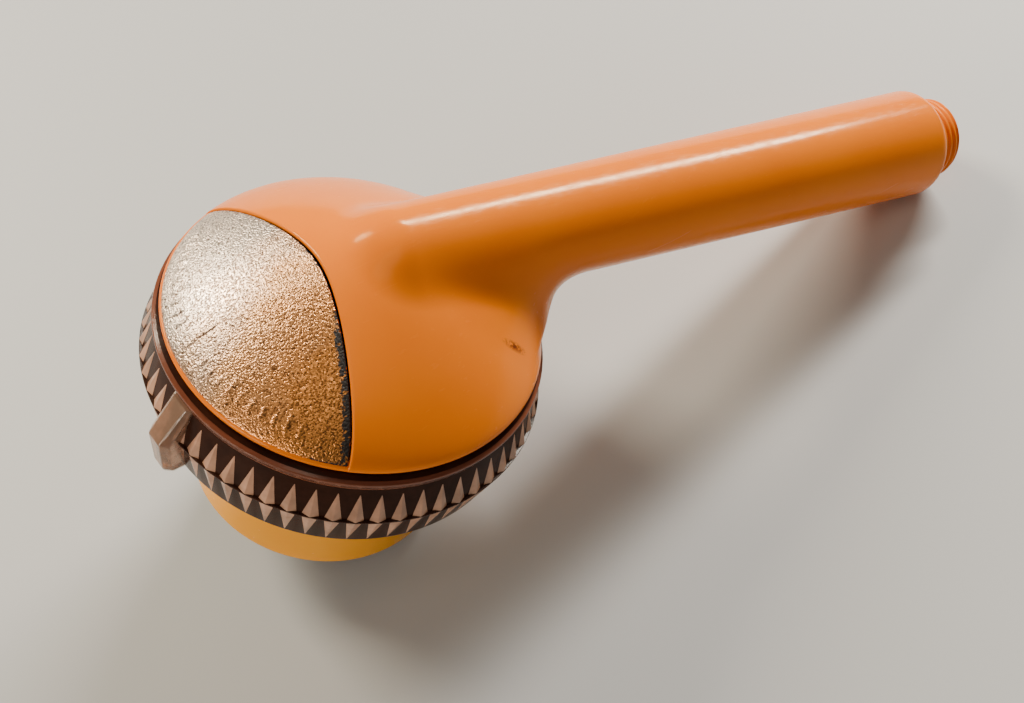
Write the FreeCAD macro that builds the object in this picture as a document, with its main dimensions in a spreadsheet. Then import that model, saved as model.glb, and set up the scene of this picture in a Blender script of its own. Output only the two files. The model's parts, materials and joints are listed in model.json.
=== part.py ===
"""Hand shower with a massage selector ring, as a parametric document.

Every sub-part is drawn about the head axis (Z), with the origin at the middle of the ring's
ridge circle and the handle along +X. At the end all of them are tilted and moved together, so
that the shower lies on its cup's edge and its handle's end, as it does on a table.
"""
import FreeCAD, Part
import math
import os
import re

import Sketcher

SIZES = {
    # selector ring
    "ridge_radius": 44.6, "crease_rise": 0.5, "teeth_top_radius": 42.3, "teeth_top_level": 8.6,
    "ring_foot_radius": 42.0, "ring_foot_level": -11.4, "lip_radius": 43.2, "lip_level": 10.9,
    "crown_radius": 40.8, "crown_level": 11.8, "ring_bore": 38.5, "tooth_count": 60,
    "tooth_fill": 0.74, "web_bore": 31.3, "web_thick": 2.5, "ledge_bore": 35.5,
    "ledge_thick": 3.0, "ring_turned": 10.0, "ring_turn_back": 55.0, "ring_turn_on": 35.0,
    # pointer
    "tab_root": 41.5, "tab_ridge": 48.7, "tab_top_radius": 43.4, "tab_foot_radius": 46.3,
    "tab_top_level": 9.0, "tab_wide": 6.8, "tab_face_wide": 4.0,
    # how the facets sit on the ring
    "facet_root": 1.0, "facet_sink": 0.05, "lip_step": 0.3, "dent_shift": 0.6,
    # dome and handle
    "rim_radius": 41.9, "rim_level": 13.8, "rim_under": 12.2, "dome_height": 22.8,
    "dome_power": 1.31, "wall": 3.0, "handle_level": 29.0, "handle_start": 6.0,
    "handle_start_radius": 11.7, "handle_end": 164.1, "handle_end_radius": 14.06,
    "handle_wall": 2.6, "handle_round": 2.5, "boss_radius": 3.8, "boss_circle": 30.0,
    "boss_root": 0.8, "hollow_start": 6.0, "end_block": 13.0, "socket_lead": 2.0,
    "shoulder_swell": 1.1,
    # badge
    "badge_setback": 19.8, "badge_lean": 22.6, "badge_lip": 1.0, "badge_inset": 0.35,
    "badge_depth": 1.4, "badge_gap": 0.15,
    # hose end
    "thread_radius": 10.48, "thread_length": 8.5, "thread_chamfer": 0.8, "nipple_radius": 10.0,
    "nipple_length": 14.0, "inlet_radius": 7.0, "inlet_depth": 10.0, "strainer_gap": 0.2,
    "strainer_thick": 1.0, "strainer_hole": 0.55,
    # water way
    "pipe_radius": 5.5, "pipe_bore": 4.2, "pipe_start": 31.0, "pipe_end": 158.0,
    "elbow_place": 26.0, "elbow_radius": 7.5, "seal_wire": 0.9, "hub_radius": 24.0,
    "hub_top": 18.0, "chamber_radius": 21.0, "chamber_floor": 9.0, "chamber_roof": 16.0,
    "plate_radius": 38.0, "plate_low": 6.0, "spigot_radius": 37.8, "spigot_top": 15.0,
    "post_radius": 6.0, "post_low": -3.0, "port_radius": 3.0, "outer_port_circle": 24.0,
    "inner_port_circle": 14.5, "disc_top": 5.0, "disc_low": 1.0, "disc_radius": 38.4,
    "running_gap": 0.05, "lug_half": 4.0, "lug_bore": 36.5, "lug_low": 6.4, "lug_top": 10.0,
    "lug_back_gap": 0.6, "lug_top_gap": 0.4, "lug_side_gap": 0.5, "riser_shift": 3.0,
    "spout_length": 10.0, "front_seal_place": 5.0, "seal_half": 1.0, "seal_gap": 0.1,
    "way_half": 2.0, "way_shift": 4.0, "port_seal_wall": 1.6, "post_thread_top": 4.5,
    # spray head
    "chassis_top": 0.7, "chassis_flange": 30.0, "flange_low": -1.0, "chassis_floor": -3.0,
    "skirt_radius": 27.8, "skirt_low": -12.0, "divider_radius": 21.5, "divider_bore": 19.5,
    "swirl_top": -17.0, "swirl_low": -19.0, "cup_top_radius": 30.1, "cup_foot_radius": 30.6,
    "cup_foot": -39.8, "cup_bore": 28.0, "cup_round": 1.0, "face_radius": 28.2,
    "face_low": -38.8, "face_top": -36.3, "cup_ledge_top": -34.0, "cup_ledge_bore": 26.0,
    "fine_jet_radius": 0.55, "insert_radius": 10.9, "insert_flange": 13.0, "insert_low": -39.3,
    "insert_top": -35.0, "massage_jet_radius": 1.1, "massage_jet_circle": 8.6,
    "sleeve_radius": 3.0, "skirt_wall": 2.0, "post_wall": 2.0, "chassis_port_radius": 2.4,
    "ledge_slope": 1.0, "insert_chamfer": 0.6, "swirl_hole": 1.3, "swirl_circle": 14.0,
    "swirl_slant": 40.0, "swirl_reach": 4.0, "cup_seal_level": -7.0, "cup_seal_inset": 0.7,
    "cup_groove_depth": 1.2, "cap_proud": 0.3, "cap_chamfer": 0.6, "cap_sunk": 0.8,
    # turbine
    "vane_root": 3.5, "vane_tip": 17.0, "vane_thick": 1.2, "vane_top": -21.5,
    "vane_low": -31.0, "rotor_hub": 5.5, "rotor_low": -34.2, "rotor_top": -20.5,
    "shutter_radius": 12.0, "shutter_thick": 1.2,
    # detent
    "ball_radius": 2.0, "ball_centre": 36.4, "ball_level": 9.0, "spring_radius": 1.5,
    "spring_wire": 0.25, "spring_turns": 5.0, "spring_pitch": 1.2, "pocket_radius": 2.1,
    "pocket_floor": 28.0,
    # fasteners
    "screw_shank": 1.5, "screw_head": 2.9, "screw_head_thick": 2.4, "ring_screw_shank": 0.9,
    "ring_screw_head": 1.2, "ring_screw_circle": 36.8, "ring_screw_head_thick": 0.9,
    "ring_screw_seat": 1.0, "ring_screw_reach": 2.5, "screw_reach": 6.0, "head_seat": 2.8,
    "head_gap": 0.2, "socket_depth": 0.8, "ring_socket_depth": 0.3, "centre_shank": 2.0,
    "centre_head": 3.6, "centre_head_thick": 2.0, "centre_tip": 4.0, "centre_socket": 1.6,
    "centre_socket_depth": 1.0,
    # how far a cutting tool runs past the face that it cuts
    "past": 1.0,
    # how it lies on a table
    "rest_tilt": 22.27,
}

BOSS_BEARINGS = (60, 180, 300)
RING_SCREW_BEARINGS = (40, 160, 280)
OUTER_PORT_BEARING = 120
INNER_PORT_BEARING = -120
BALL_BEARING = 90
DOME_STEPS = 12
# place along the handle, half width, middle level and half height of each shoulder ellipse
SHOULDER_STATIONS = ((8, 14, 24, 9.5), (26, 18.5, 25.5, 11.5), (42, 16.8, 27, 13.0),
                     (58, 13.6, 28.4, 12.9))
SHOULDER_END = 80
# an ellipse's first radius has to be the larger one by a little
ELLIPSE_EXCESS = 0.001
# circle radius and number of holes
STRAINER_RINGS = ((1.5, 5), (3.0, 10), (4.4, 14))
FINE_JETS = ((22.8, 36), (24.9, 42))
MASSAGE_JETS = 12
SWIRL_HOLES = 8
VANES = 8
BIG = 200.0

document = FreeCAD.newDocument("HandShower")
sheet = document.addObject("Spreadsheet::Sheet", "Sizes")
for row, (alias, value) in enumerate(SIZES.items(), start=1):
    sheet.set(f"A{row}", alias)
    sheet.set(f"B{row}", str(value))
    sheet.setAlias(f"B{row}", alias)
document.recompute()

subparts = []


def size(text):
    """Number that a formula of the sheet's names gives."""
    return float(sheet.evalExpression(str(text)))


def bound(text):
    """The same formula, written so that any object of the document can be bound to it."""
    return re.sub(r"[a-z][a-z_]*[a-z]", lambda word: "Sizes." + word.group()
                  if word.group() in SIZES else word.group(), str(text))


def keep(thing, label):
    """Names an object as a finished sub-part."""
    thing.Label = label
    subparts.append(thing)
    return thing


def turned(label, outline):
    """Body of revolution about Z; outline is a list of (radius, level) formulas."""
    body = document.addObject("PartDesign::Body", label)
    sketch = body.newObject("Sketcher::SketchObject", label + "_outline")
    plane = [item for item in body.Origin.OriginFeatures if item.Role == "XZ_Plane"][0]
    sketch.AttachmentSupport = [(plane, "")]
    sketch.MapMode = "FlatFace"
    corners = [FreeCAD.Vector(size(radius), size(level), 0) for radius, level in outline]
    count = len(corners)
    for side in range(count):
        sketch.addGeometry(Part.LineSegment(corners[side], corners[(side + 1) % count]), False)
    for side in range(count):
        sketch.addConstraint(Sketcher.Constraint("Coincident", side, 2, (side + 1) % count, 1))
    for corner, (radius, level) in enumerate(outline):
        for direction, formula in (("DistanceX", radius), ("DistanceY", level)):
            place = sketch.addConstraint(
                Sketcher.Constraint(direction, -1, 1, corner, 1, size(formula)))
            sketch.setExpression(f"Constraints[{place}]", bound(formula))
    turn = body.newObject("PartDesign::Revolution", label + "_turn")
    turn.Profile = sketch
    turn.ReferenceAxis = (sketch, ["V_Axis"])
    turn.Angle = 360
    return body


def around(circle, bearing):
    """X and Y formulas of a point on a circle about the head axis."""
    return f"({circle}) * cos({bearing} deg)", f"({circle}) * sin({bearing} deg)"


def rod(label, radius, low, high, circle="0", bearing=0, sweep=None):
    """Upright cylinder, whole or a sector of it, at a point on a circle about the axis."""
    cylinder = document.addObject("Part::Cylinder", label)
    cylinder.setExpression("Radius", bound(radius))
    cylinder.setExpression("Height", bound(f"({high}) - ({low})"))
    across, along = around(circle, bearing)
    cylinder.setExpression("Placement.Base.x", bound(across))
    cylinder.setExpression("Placement.Base.y", bound(along))
    cylinder.setExpression("Placement.Base.z", bound(low))
    if sweep:
        cylinder.Placement.Rotation = FreeCAD.Rotation(FreeCAD.Vector(0, 0, 1), sweep[0])
        cylinder.setExpression("Angle", bound(sweep[1]))
    return cylinder


def sector(label, outer, inner, low, high, start, span):
    """Part of a flat ring, from the bearing start over the angle span."""
    return cut(label, rod(label + "_outer", outer, low, high, sweep=(start, span)),
               rod(label + "_inner", inner, f"({low}) - past", f"({high}) + past"))


def lying(label, radius, start, end):
    """Cylinder along X at the handle's level."""
    cylinder = document.addObject("Part::Cylinder", label)
    cylinder.setExpression("Radius", bound(radius))
    cylinder.setExpression("Height", bound(f"({end}) - ({start})"))
    cylinder.Placement.Rotation = FreeCAD.Rotation(FreeCAD.Vector(0, 1, 0), 90)
    cylinder.setExpression("Placement.Base.x", bound(start))
    cylinder.setExpression("Placement.Base.z", bound("handle_level"))
    return cylinder


def fuse(label, things):
    """One solid, or one group of separate solids, from several objects."""
    whole = document.addObject("Part::MultiFuse", label)
    whole.Shapes = things
    return whole


def cut(label, base, tool):
    """Base less tool."""
    rest = document.addObject("Part::Cut", label)
    rest.Base = base
    rest.Tool = tool
    return rest


def drilled(label, base, tools):
    """Base less every one of the tools."""
    return cut(label, base, fuse(label + "_drills", tools) if len(tools) > 1 else tools[0])


def seal(label, radius, place, upright):
    """O-ring about the head axis, at a level, or about the handle's axis, at a distance."""
    torus = document.addObject("Part::Torus", label)
    torus.setExpression("Radius1", bound(radius))
    torus.setExpression("Radius2", bound("seal_wire"))
    if upright:
        torus.Placement.Base = FreeCAD.Vector(0, 0, size(place))
    else:
        torus.Placement = FreeCAD.Placement(
            FreeCAD.Vector(size(place), 0, size("handle_level")),
            FreeCAD.Rotation(FreeCAD.Vector(0, 1, 0), 90))
    return keep(torus, label)


def feature(label, shape):
    """Sub-part whose shape is made by the functions below."""
    thing = document.addObject("Part::Feature", label)
    thing.Shape = shape
    return keep(thing, label)


def solid_of(faces):
    """Closed solid from flat faces, each a list of corners."""
    shell = Part.makeShell([Part.Face(Part.makePolygon(list(face) + [face[0]])) for face in faces])
    solid = Part.makeSolid(shell)
    if solid.Volume < 0:
        solid.reverse()
    return solid


def polar(radius, bearing, level):
    """Point at a radius, bearing in degrees and level about the head axis."""
    angle = math.radians(bearing)
    return FreeCAD.Vector(radius * math.cos(angle), radius * math.sin(angle), level)


# ---------------------------------------------------------------- dome and handle

def dome(inset, foot):
    """Solid under the dome moved in by inset: a superellipse turned about the head axis."""
    rim = size("rim_radius") - inset
    height = size("dome_height") - inset
    level = size("rim_level")
    power = 2 / size("dome_power")
    curve = Part.BSplineCurve()
    curve.interpolate([
        FreeCAD.Vector(rim * math.cos(turn) ** power, 0, level + height * math.sin(turn) ** power)
        for turn in (math.pi / 2 * step / DOME_STEPS for step in range(DOME_STEPS))]
        + [FreeCAD.Vector(0, 0, level + height)])
    side = [curve.value(curve.LastParameter), FreeCAD.Vector(0, 0, foot),
            FreeCAD.Vector(rim, 0, foot), curve.value(curve.FirstParameter)]
    edges = [curve.toShape()] + [
        Part.makeLine(start, end) for start, end in zip(side, side[1:])]
    return Part.Face(Part.Wire(edges)).revolve(
        FreeCAD.Vector(), FreeCAD.Vector(0, 0, 1), 360)


def shoulder(inset):
    """Solid that leads the dome's back into the handle: ellipses joined along X."""
    level = size("handle_level")
    end_radius = size("handle_start_radius + shoulder_swell")
    stations = SHOULDER_STATIONS + ((SHOULDER_END, end_radius, level, end_radius),)
    wires = []
    for place, half_width, middle, half_height in stations:
        across, up = half_width - inset, half_height - inset
        ring = Part.Ellipse(FreeCAD.Vector(), max(across, up + ELLIPSE_EXCESS), up)
        wire = Part.Wire(ring.toShape())
        wire.Placement = FreeCAD.Placement(
            FreeCAD.Vector(place, 0, middle),
            FreeCAD.Rotation(FreeCAD.Vector(0, 1, 0), FreeCAD.Vector(0, 0, 1),
                             FreeCAD.Vector(1, 0, 0), "XYZ"))
        wires.append(wire)
    return Part.makeLoft(wires, True, False)


def handle(inset, start, end):
    """Cone along X, moved in by inset."""
    begin = size("handle_start")
    taper = size("(handle_end_radius - handle_start_radius) / (handle_end - handle_start)")
    first = size("handle_start_radius") + taper * (start - begin) - inset
    last = size("handle_start_radius") + taper * (end - begin) - inset
    return Part.makeCone(first, last, end - start,
                         FreeCAD.Vector(start, 0, size("handle_level")), FreeCAD.Vector(1, 0, 0))


def badge_region(gap, foot):
    """Everything in front of the leaning plane that bounds the badge, above foot."""
    block = Part.makeBox(BIG, 2 * BIG, 2 * BIG, FreeCAD.Vector(-BIG, -BIG, -BIG))
    block.Placement = FreeCAD.Placement(
        FreeCAD.Vector(-size("badge_setback") - gap, 0, size("rim_level")),
        FreeCAD.Rotation(FreeCAD.Vector(0, 1, 0), size("badge_lean")))
    above = Part.makeBox(2 * BIG, 2 * BIG, BIG, FreeCAD.Vector(-BIG, -BIG, foot))
    return block.common(above)


def body_shell():
    """Hollow dome with its handle, screw bosses and the recess for the badge."""
    level = size("handle_level")
    end = size("handle_end")
    under = size("rim_under")
    past = size("past")
    cone = handle(0, size("handle_start"), end)
    rims = [edge for edge in cone.Edges
            if len(edge.Vertexes) == 1 and edge.Vertexes[0].Point.x > end - past]
    cone = cone.makeFillet(size("handle_round"), rims)
    nose = Part.makeSphere(size("handle_start_radius"),
                           FreeCAD.Vector(size("handle_start"), 0, level))
    outer = dome(0, under).fuse([nose, shoulder(0), cone])
    wall = size("wall")
    socket = Part.makeCylinder(
        size("nipple_radius"), size("nipple_length + socket_lead + past"),
        FreeCAD.Vector(end - size("nipple_length + socket_lead"), 0, level),
        FreeCAD.Vector(1, 0, 0))
    hollow = dome(wall, under - past).fuse([
        shoulder(wall), socket,
        handle(size("handle_wall"), size("handle_start + hollow_start"),
               end - size("end_block"))])
    shell = outer.cut(hollow)
    recess = dome(-past, under).cut(dome(size("badge_depth"), under - past)).common(
        badge_region(0, size("rim_level + badge_lip")))
    shell = shell.cut(recess)
    posts = []
    pilots = []
    for bearing in BOSS_BEARINGS:
        foot = polar(size("boss_circle"), bearing, size("spigot_top"))
        posts.append(Part.makeCylinder(size("boss_radius"), size("dome_height"), foot))
        pilots.append(Part.makeCylinder(size("screw_shank"), size("screw_reach"), foot))
    inside = dome(size("wall - boss_root"), under)
    shell = shell.fuse([post.common(inside) for post in posts])
    return shell.cut(pilots).removeSplitter()


def badge_plate():
    """Shallow curved insert that fills the recess at the front of the dome."""
    foot = size("rim_level + badge_lip + badge_gap")
    past = size("past")
    skin = dome(size("badge_inset"), foot - past).cut(
        dome(size("badge_depth"), foot - 2 * past))
    return skin.common(badge_region(size("badge_gap"), foot))


feature("body_shell", body_shell())
feature("badge_plate", badge_plate())


# ---------------------------------------------------------------- hose end

def hose_nipple():
    """Threaded stub, glued into the handle's end, with the tube's socket inside."""
    end = "handle_end"
    outside = fuse("nipple_outside", [
        lying("nipple_shank", "nipple_radius", f"{end} - nipple_length", end),
        lying("nipple_thread", "thread_radius", end, f"{end} + thread_length - thread_chamfer")])
    lead = document.addObject("Part::Cone", "nipple_lead")
    lead.setExpression("Radius1", bound("thread_radius"))
    lead.setExpression("Radius2", bound("thread_radius - thread_chamfer"))
    lead.setExpression("Height", bound("thread_chamfer"))
    lead.Placement.Rotation = FreeCAD.Rotation(FreeCAD.Vector(0, 1, 0), 90)
    lead.setExpression("Placement.Base.x", bound(f"{end} + thread_length - thread_chamfer"))
    lead.setExpression("Placement.Base.z", bound("handle_level"))
    whole = fuse("nipple_whole", [outside, lead])
    mouth = lying("nipple_mouth", "inlet_radius", f"{end} + thread_length - inlet_depth",
                  f"{end} + thread_length + past")
    socket = lying("nipple_socket", "pipe_radius", f"{end} - nipple_length - past",
                   f"{end} + thread_length")
    keep(drilled("nipple_bored", whole, [mouth, socket]), "hose_nipple")


def inlet_strainer():
    """Flat screen with rings of holes, just behind the nipple's mouth."""
    end = "handle_end + thread_length - inlet_depth - strainer_gap"
    start = f"{end} - strainer_thick"
    plate = lying("strainer_plate", "pipe_radius", start, end)
    holes = []
    for ring, count in STRAINER_RINGS:
        for step in range(count):
            hole = lying(f"strainer_hole_{count}_{step}", "strainer_hole", f"{start} - past",
                         f"{end} + past")
            turn = 360 * step / count
            hole.setExpression("Placement.Base.y", bound(f"{ring} * cos({turn} deg)"))
            hole.setExpression("Placement.Base.z",
                               bound(f"handle_level + {ring} * sin({turn} deg)"))
            holes.append(hole)
    keep(drilled("strainer_pierced", plate, holes), "inlet_strainer")


hose_nipple()
inlet_strainer()
keep(cut("pipe", lying("pipe_outside", "pipe_radius", "pipe_start", "pipe_end"),
         lying("pipe_inside", "pipe_bore", "pipe_start - past", "pipe_end + past")), "water_tube")
seal("tube_front_seal", "pipe_radius + seal_wire", "pipe_start + front_seal_place", False)
seal("tube_rear_seal", "pipe_radius + seal_wire", "handle_end - nipple_length - seal_wire", False)


# ---------------------------------------------------------------- valve

def valve_housing():
    """Plate that closes the dome, with inlet elbow, chamber, two ports and the centre post."""
    blank = turned("housing_blank", [
        ("0", "hub_top"), ("hub_radius", "hub_top"), ("hub_radius", "spigot_top"),
        ("spigot_radius", "spigot_top"), ("spigot_radius", "rim_under"),
        ("plate_radius", "rim_under"), ("plate_radius", "plate_low"),
        ("post_radius", "plate_low"), ("post_radius", "post_low"), ("0", "post_low")])
    riser = rod("riser", "elbow_radius", "rim_under", "handle_level", "elbow_place")
    knee = document.addObject("Part::Sphere", "knee")
    knee.setExpression("Radius", bound("elbow_radius"))
    knee.setExpression("Placement.Base.x", bound("elbow_place"))
    knee.setExpression("Placement.Base.z", bound("handle_level"))
    spout = lying("spout", "elbow_radius", "elbow_place", "pipe_start + spout_length")
    outside = fuse("housing_outside", [blank, riser, knee, spout])
    start = size("ring_turned - ring_turn_back - lug_half - lug_side_gap")
    span = "ring_turn_back + ring_turn_on + 2 * (lug_half + lug_side_gap)"
    tools = [
        rod("chamber", "chamber_radius", "chamber_floor", "chamber_roof"),
        rod("riser_bore", "pipe_bore", "chamber_floor + past", "handle_level",
            "elbow_place - riser_shift"),
        rod("riser_foot", "pipe_bore", "chamber_floor + past", "chamber_roof",
            "elbow_place - 2 * riser_shift"),
        lying("knee_bore", "pipe_bore", "elbow_place - riser_shift", "pipe_start"),
        lying("pipe_socket", "pipe_radius", "pipe_start", "pipe_start + spout_length + past"),
        lying("seal_groove", "pipe_radius + 2 * seal_wire",
              "pipe_start + front_seal_place - seal_half",
              "pipe_start + front_seal_place + seal_half"),
        rod("outer_port", "port_radius", "plate_low - past", "chamber_floor + past",
            "outer_port_circle", OUTER_PORT_BEARING),
        rod("outer_port_way", "port_radius", "chamber_floor - way_half",
            "chamber_floor + way_half", "outer_port_circle - way_shift", OUTER_PORT_BEARING),
        rod("inner_port", "port_radius", "plate_low - past", "chamber_floor + past",
            "inner_port_circle", INNER_PORT_BEARING),
        rod("outer_seal_seat", "port_radius + port_seal_wall", "plate_low - past",
            "plate_low + port_seal_wall", "outer_port_circle", OUTER_PORT_BEARING),
        rod("inner_seal_seat", "port_radius + port_seal_wall", "plate_low - past",
            "plate_low + port_seal_wall", "inner_port_circle", INNER_PORT_BEARING),
        rod("post_thread", "centre_shank", "post_low - past", "post_thread_top"),
        sector("lug_window", "plate_radius + past", "lug_bore - lug_back_gap",
               "plate_low - past", "lug_top + lug_top_gap", start, span),
    ]
    for bearing in BOSS_BEARINGS:
        tools.append(rod(f"housing_screw_hole_{bearing}", "screw_shank", "plate_low - past",
                         "spigot_top + past", "boss_circle", bearing))
        tools.append(rod(f"housing_screw_seat_{bearing}", "screw_head + head_gap",
                         "plate_low - past", "plate_low + head_seat", "boss_circle", bearing))
    pocket = document.addObject("Part::Cylinder", "ball_pocket")
    pocket.setExpression("Radius", bound("pocket_radius"))
    pocket.setExpression("Height", bound("plate_radius + 2 * past - pocket_floor"))
    pocket.Placement.Rotation = FreeCAD.Rotation(FreeCAD.Vector(0, 0, 1), polar(1, BALL_BEARING, 0))
    across, along = around("pocket_floor", BALL_BEARING)
    pocket.setExpression("Placement.Base.x", bound(across))
    pocket.setExpression("Placement.Base.y", bound(along))
    pocket.setExpression("Placement.Base.z", bound("ball_level"))
    keep(drilled("housing_bored", outside, tools + [pocket]), "valve_housing")


def screws(label, circle, bearings, shank, head, thread, seat, tip, into_dome):
    """Screws on a circle; head is its radius, thickness and the depth of its socket."""
    head_radius, head_thick, socket_depth = head
    pieces = []
    for bearing in bearings:
        pieces.append(rod(f"{label}_shank_{bearing}", shank, thread, tip, circle, bearing))
        if into_dome:
            low, high = f"({seat}) - {head_thick}", seat
            slot_low, slot_high = f"({low}) - past", f"({low}) + {socket_depth}"
        else:
            low, high = seat, f"({seat}) + {head_thick}"
            slot_low, slot_high = f"({high}) - {socket_depth}", f"({high}) + past"
        driven = rod(f"{label}_head_{bearing}", head_radius, low, high, circle, bearing)
        socket = rod(f"{label}_socket_{bearing}", f"{head_radius} / 2", slot_low, slot_high,
                     circle, bearing)
        pieces.append(cut(f"{label}_driven_{bearing}", driven, socket))
    keep(fuse(label + "_group", pieces), label)


def port_seals():
    """Two sleeves that stand out of the housing and rub on the disc."""
    sleeves = []
    for name, circle, bearing in (("outer", "outer_port_circle", OUTER_PORT_BEARING),
                                  ("inner", "inner_port_circle", INNER_PORT_BEARING)):
        sleeves.append(cut(
            f"{name}_sleeve",
            rod(f"{name}_sleeve_outside", "port_radius + port_seal_wall",
                "disc_top + running_gap", "plate_low + port_seal_wall", circle, bearing),
            rod(f"{name}_sleeve_bore", "port_radius", "disc_top - past",
                "plate_low + port_seal_wall + past", circle, bearing)))
    keep(fuse("sleeves", sleeves), "port_seals")


def selector_disc():
    """Disc that opens the outer way at one end of its turn and the inner way at the other."""
    blank = turned("disc_blank", [
        ("post_radius + running_gap", "disc_top"), ("disc_radius", "disc_top"),
        ("disc_radius", "disc_low"), ("post_radius + running_gap", "disc_low")])
    half = "ring_turn_back + ring_turn_on"
    outer_start = OUTER_PORT_BEARING + size("ring_turn_back") - size(half) / 2
    inner_start = INNER_PORT_BEARING - size("ring_turn_on")
    tools = [
        sector("outer_way", "outer_port_circle + port_radius", "outer_port_circle - port_radius",
               "disc_low - past", "disc_top + past", outer_start, f"({half}) / 2"),
        sector("inner_way", "inner_port_circle + port_radius", "inner_port_circle - port_radius",
               "disc_low - past", "disc_top + past", inner_start, f"({half}) / 2"),
        cut("post_seal_seat",
            rod("post_seal_seat_outside", "post_radius + 2 * seal_wire + seal_gap",
                "disc_low - past", "disc_low + 2 * seal_half"),
            rod("post_seal_seat_inside", "post_radius", "disc_low - 2 * past",
                "disc_low + 2 * seal_half + past"))]
    for bearing in RING_SCREW_BEARINGS:
        tools.append(rod(f"disc_screw_hole_{bearing}", "ring_screw_shank", "disc_low - past",
                         "disc_top + past", "ring_screw_circle", bearing))
        tools.append(rod(f"disc_screw_seat_{bearing}", "ring_screw_head",
                         "disc_top - ring_screw_seat", "disc_top + past",
                         "ring_screw_circle", bearing))
    keep(drilled("disc_pierced", blank, tools), "selector_disc")


valve_housing()
screws("housing_screws", "boss_circle", BOSS_BEARINGS, "screw_shank",
       ("screw_head", "screw_head_thick", "socket_depth"), "plate_low + head_seat",
       "plate_low + head_seat", "spigot_top + screw_reach", True)
port_seals()
seal("post_seal", "post_radius + seal_wire", "disc_low + seal_half", True)
selector_disc()
screws("ring_screws", "ring_screw_circle", RING_SCREW_BEARINGS, "ring_screw_shank",
       ("ring_screw_head", "ring_screw_head_thick", "ring_socket_depth"),
       "disc_low - ring_screw_reach", "disc_top - ring_screw_seat",
       "disc_top - ring_screw_seat", False)


# ---------------------------------------------------------------- selector ring

def facet(bearing, radii, half):
    """Kite-shaped facet with a raised crease, proud of the ring's two cones."""
    top = polar(size("teeth_top_radius"), bearing, size("teeth_top_level"))
    foot = polar(size("ring_foot_radius"), bearing, size("ring_foot_level"))
    left = polar(radii[0], bearing - half, 0)
    right = polar(radii[0], bearing + half, 0)
    crest = polar(radii[1], bearing, 0)
    heel = polar(size("teeth_top_radius - facet_root"), bearing, 0)
    return solid_of(((top, left, crest), (top, crest, right), (foot, crest, left),
                     (foot, right, crest), (top, heel, left), (top, right, heel),
                     (foot, left, heel), (foot, heel, right)))


def pointer(bearing):
    """Tab with a flat outer face and bevelled sides, thickest at the ridge."""
    foot = size("ring_foot_level")
    outline = [(size("tab_root"), size("tab_top_level")),
               (size("tab_top_radius"), size("tab_top_level")), (size("tab_ridge"), 0),
               (size("tab_foot_radius"), foot), (size("tab_root"), foot)]
    half = size("tab_wide") / 2
    corners = [FreeCAD.Vector(radius, -half, level) for radius, level in outline]
    slab = Part.Face(Part.makePolygon(corners + corners[:1])).extrude(
        FreeCAD.Vector(0, 2 * half, 0))
    root = size("tab_root - past")
    bevel_start = size("lip_radius")
    tip = size("tab_ridge + past")
    face_half = size("tab_face_wide") / 2
    under = foot - size("past")
    plan = [FreeCAD.Vector(across, along, under) for across, along in (
        (root, -half), (bevel_start, -half), (tip, -face_half),
        (tip, face_half), (bevel_start, half), (root, half))]
    wedge = Part.Face(Part.makePolygon(plan + plan[:1])).extrude(FreeCAD.Vector(0, 0, BIG))
    tab = slab.common(wedge)
    tab.rotate(FreeCAD.Vector(), FreeCAD.Vector(0, 0, 1), bearing)
    return tab


def selector_ring():
    """Ring with two cones that meet at the ridge, facets, pointer, ledge, web, lug and dents."""
    profile = [("ring_bore", "crown_level"), ("crown_radius", "crown_level"),
               ("lip_radius", "lip_level"), ("teeth_top_radius + lip_step", "teeth_top_level"),
               ("ridge_radius", "0"), ("ring_foot_radius", "ring_foot_level"),
               ("web_bore", "ring_foot_level"), ("web_bore", "ring_foot_level + web_thick"),
               ("ring_bore", "ring_foot_level + web_thick"),
               ("ring_bore", "disc_low - ledge_thick"), ("ledge_bore", "disc_low - ledge_thick"),
               ("ledge_bore", "disc_low"), ("ring_bore", "disc_low")]
    corners = [FreeCAD.Vector(size(radius), 0, size(level)) for radius, level in profile]
    blank = Part.Face(Part.makePolygon(corners + corners[:1])).revolve(
        FreeCAD.Vector(), FreeCAD.Vector(0, 0, 1), 360)
    pointer_bearing = 180 + size("ring_turned")
    pitch = 360 / size("tooth_count")
    half = pitch * size("tooth_fill") / 2
    edge = size("ridge_radius - facet_sink")
    radii = (edge, size("ridge_radius + crease_rise"))
    additions = [pointer(pointer_bearing)]
    for tooth in range(int(size("tooth_count"))):
        bearing = pointer_bearing + pitch * (tooth + 0.5)
        additions.append(facet(bearing, radii, half))
    lug_middle = size("ring_turned")
    lug = Part.makeCylinder(size("ring_bore + past"), size("lug_top - lug_low"),
                            FreeCAD.Vector(0, 0, size("lug_low")), FreeCAD.Vector(0, 0, 1),
                            2 * size("lug_half"))
    lug = lug.cut(Part.makeCylinder(size("lug_bore"), size("lug_top + past")))
    lug.rotate(FreeCAD.Vector(), FreeCAD.Vector(0, 0, 1), lug_middle - size("lug_half"))
    ring = blank.fuse(additions + [lug])
    dents = []
    for setting in (-size("ring_turn_back"), size("(ring_turn_on - ring_turn_back) / 2"),
                    size("ring_turn_on")):
        dents.append(Part.makeSphere(size("ball_radius"),
                                     polar(size("ball_centre + dent_shift"), BALL_BEARING - setting,
                                           size("ball_level"))))
    for bearing in RING_SCREW_BEARINGS:
        dents.append(Part.makeCylinder(
            size("ring_screw_shank"), size("ring_screw_reach"),
            polar(size("ring_screw_circle"), bearing, size("disc_low - ring_screw_reach"))))
    return ring.cut(dents).removeSplitter()


feature("selector_ring", selector_ring())


# ---------------------------------------------------------------- spray head

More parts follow.
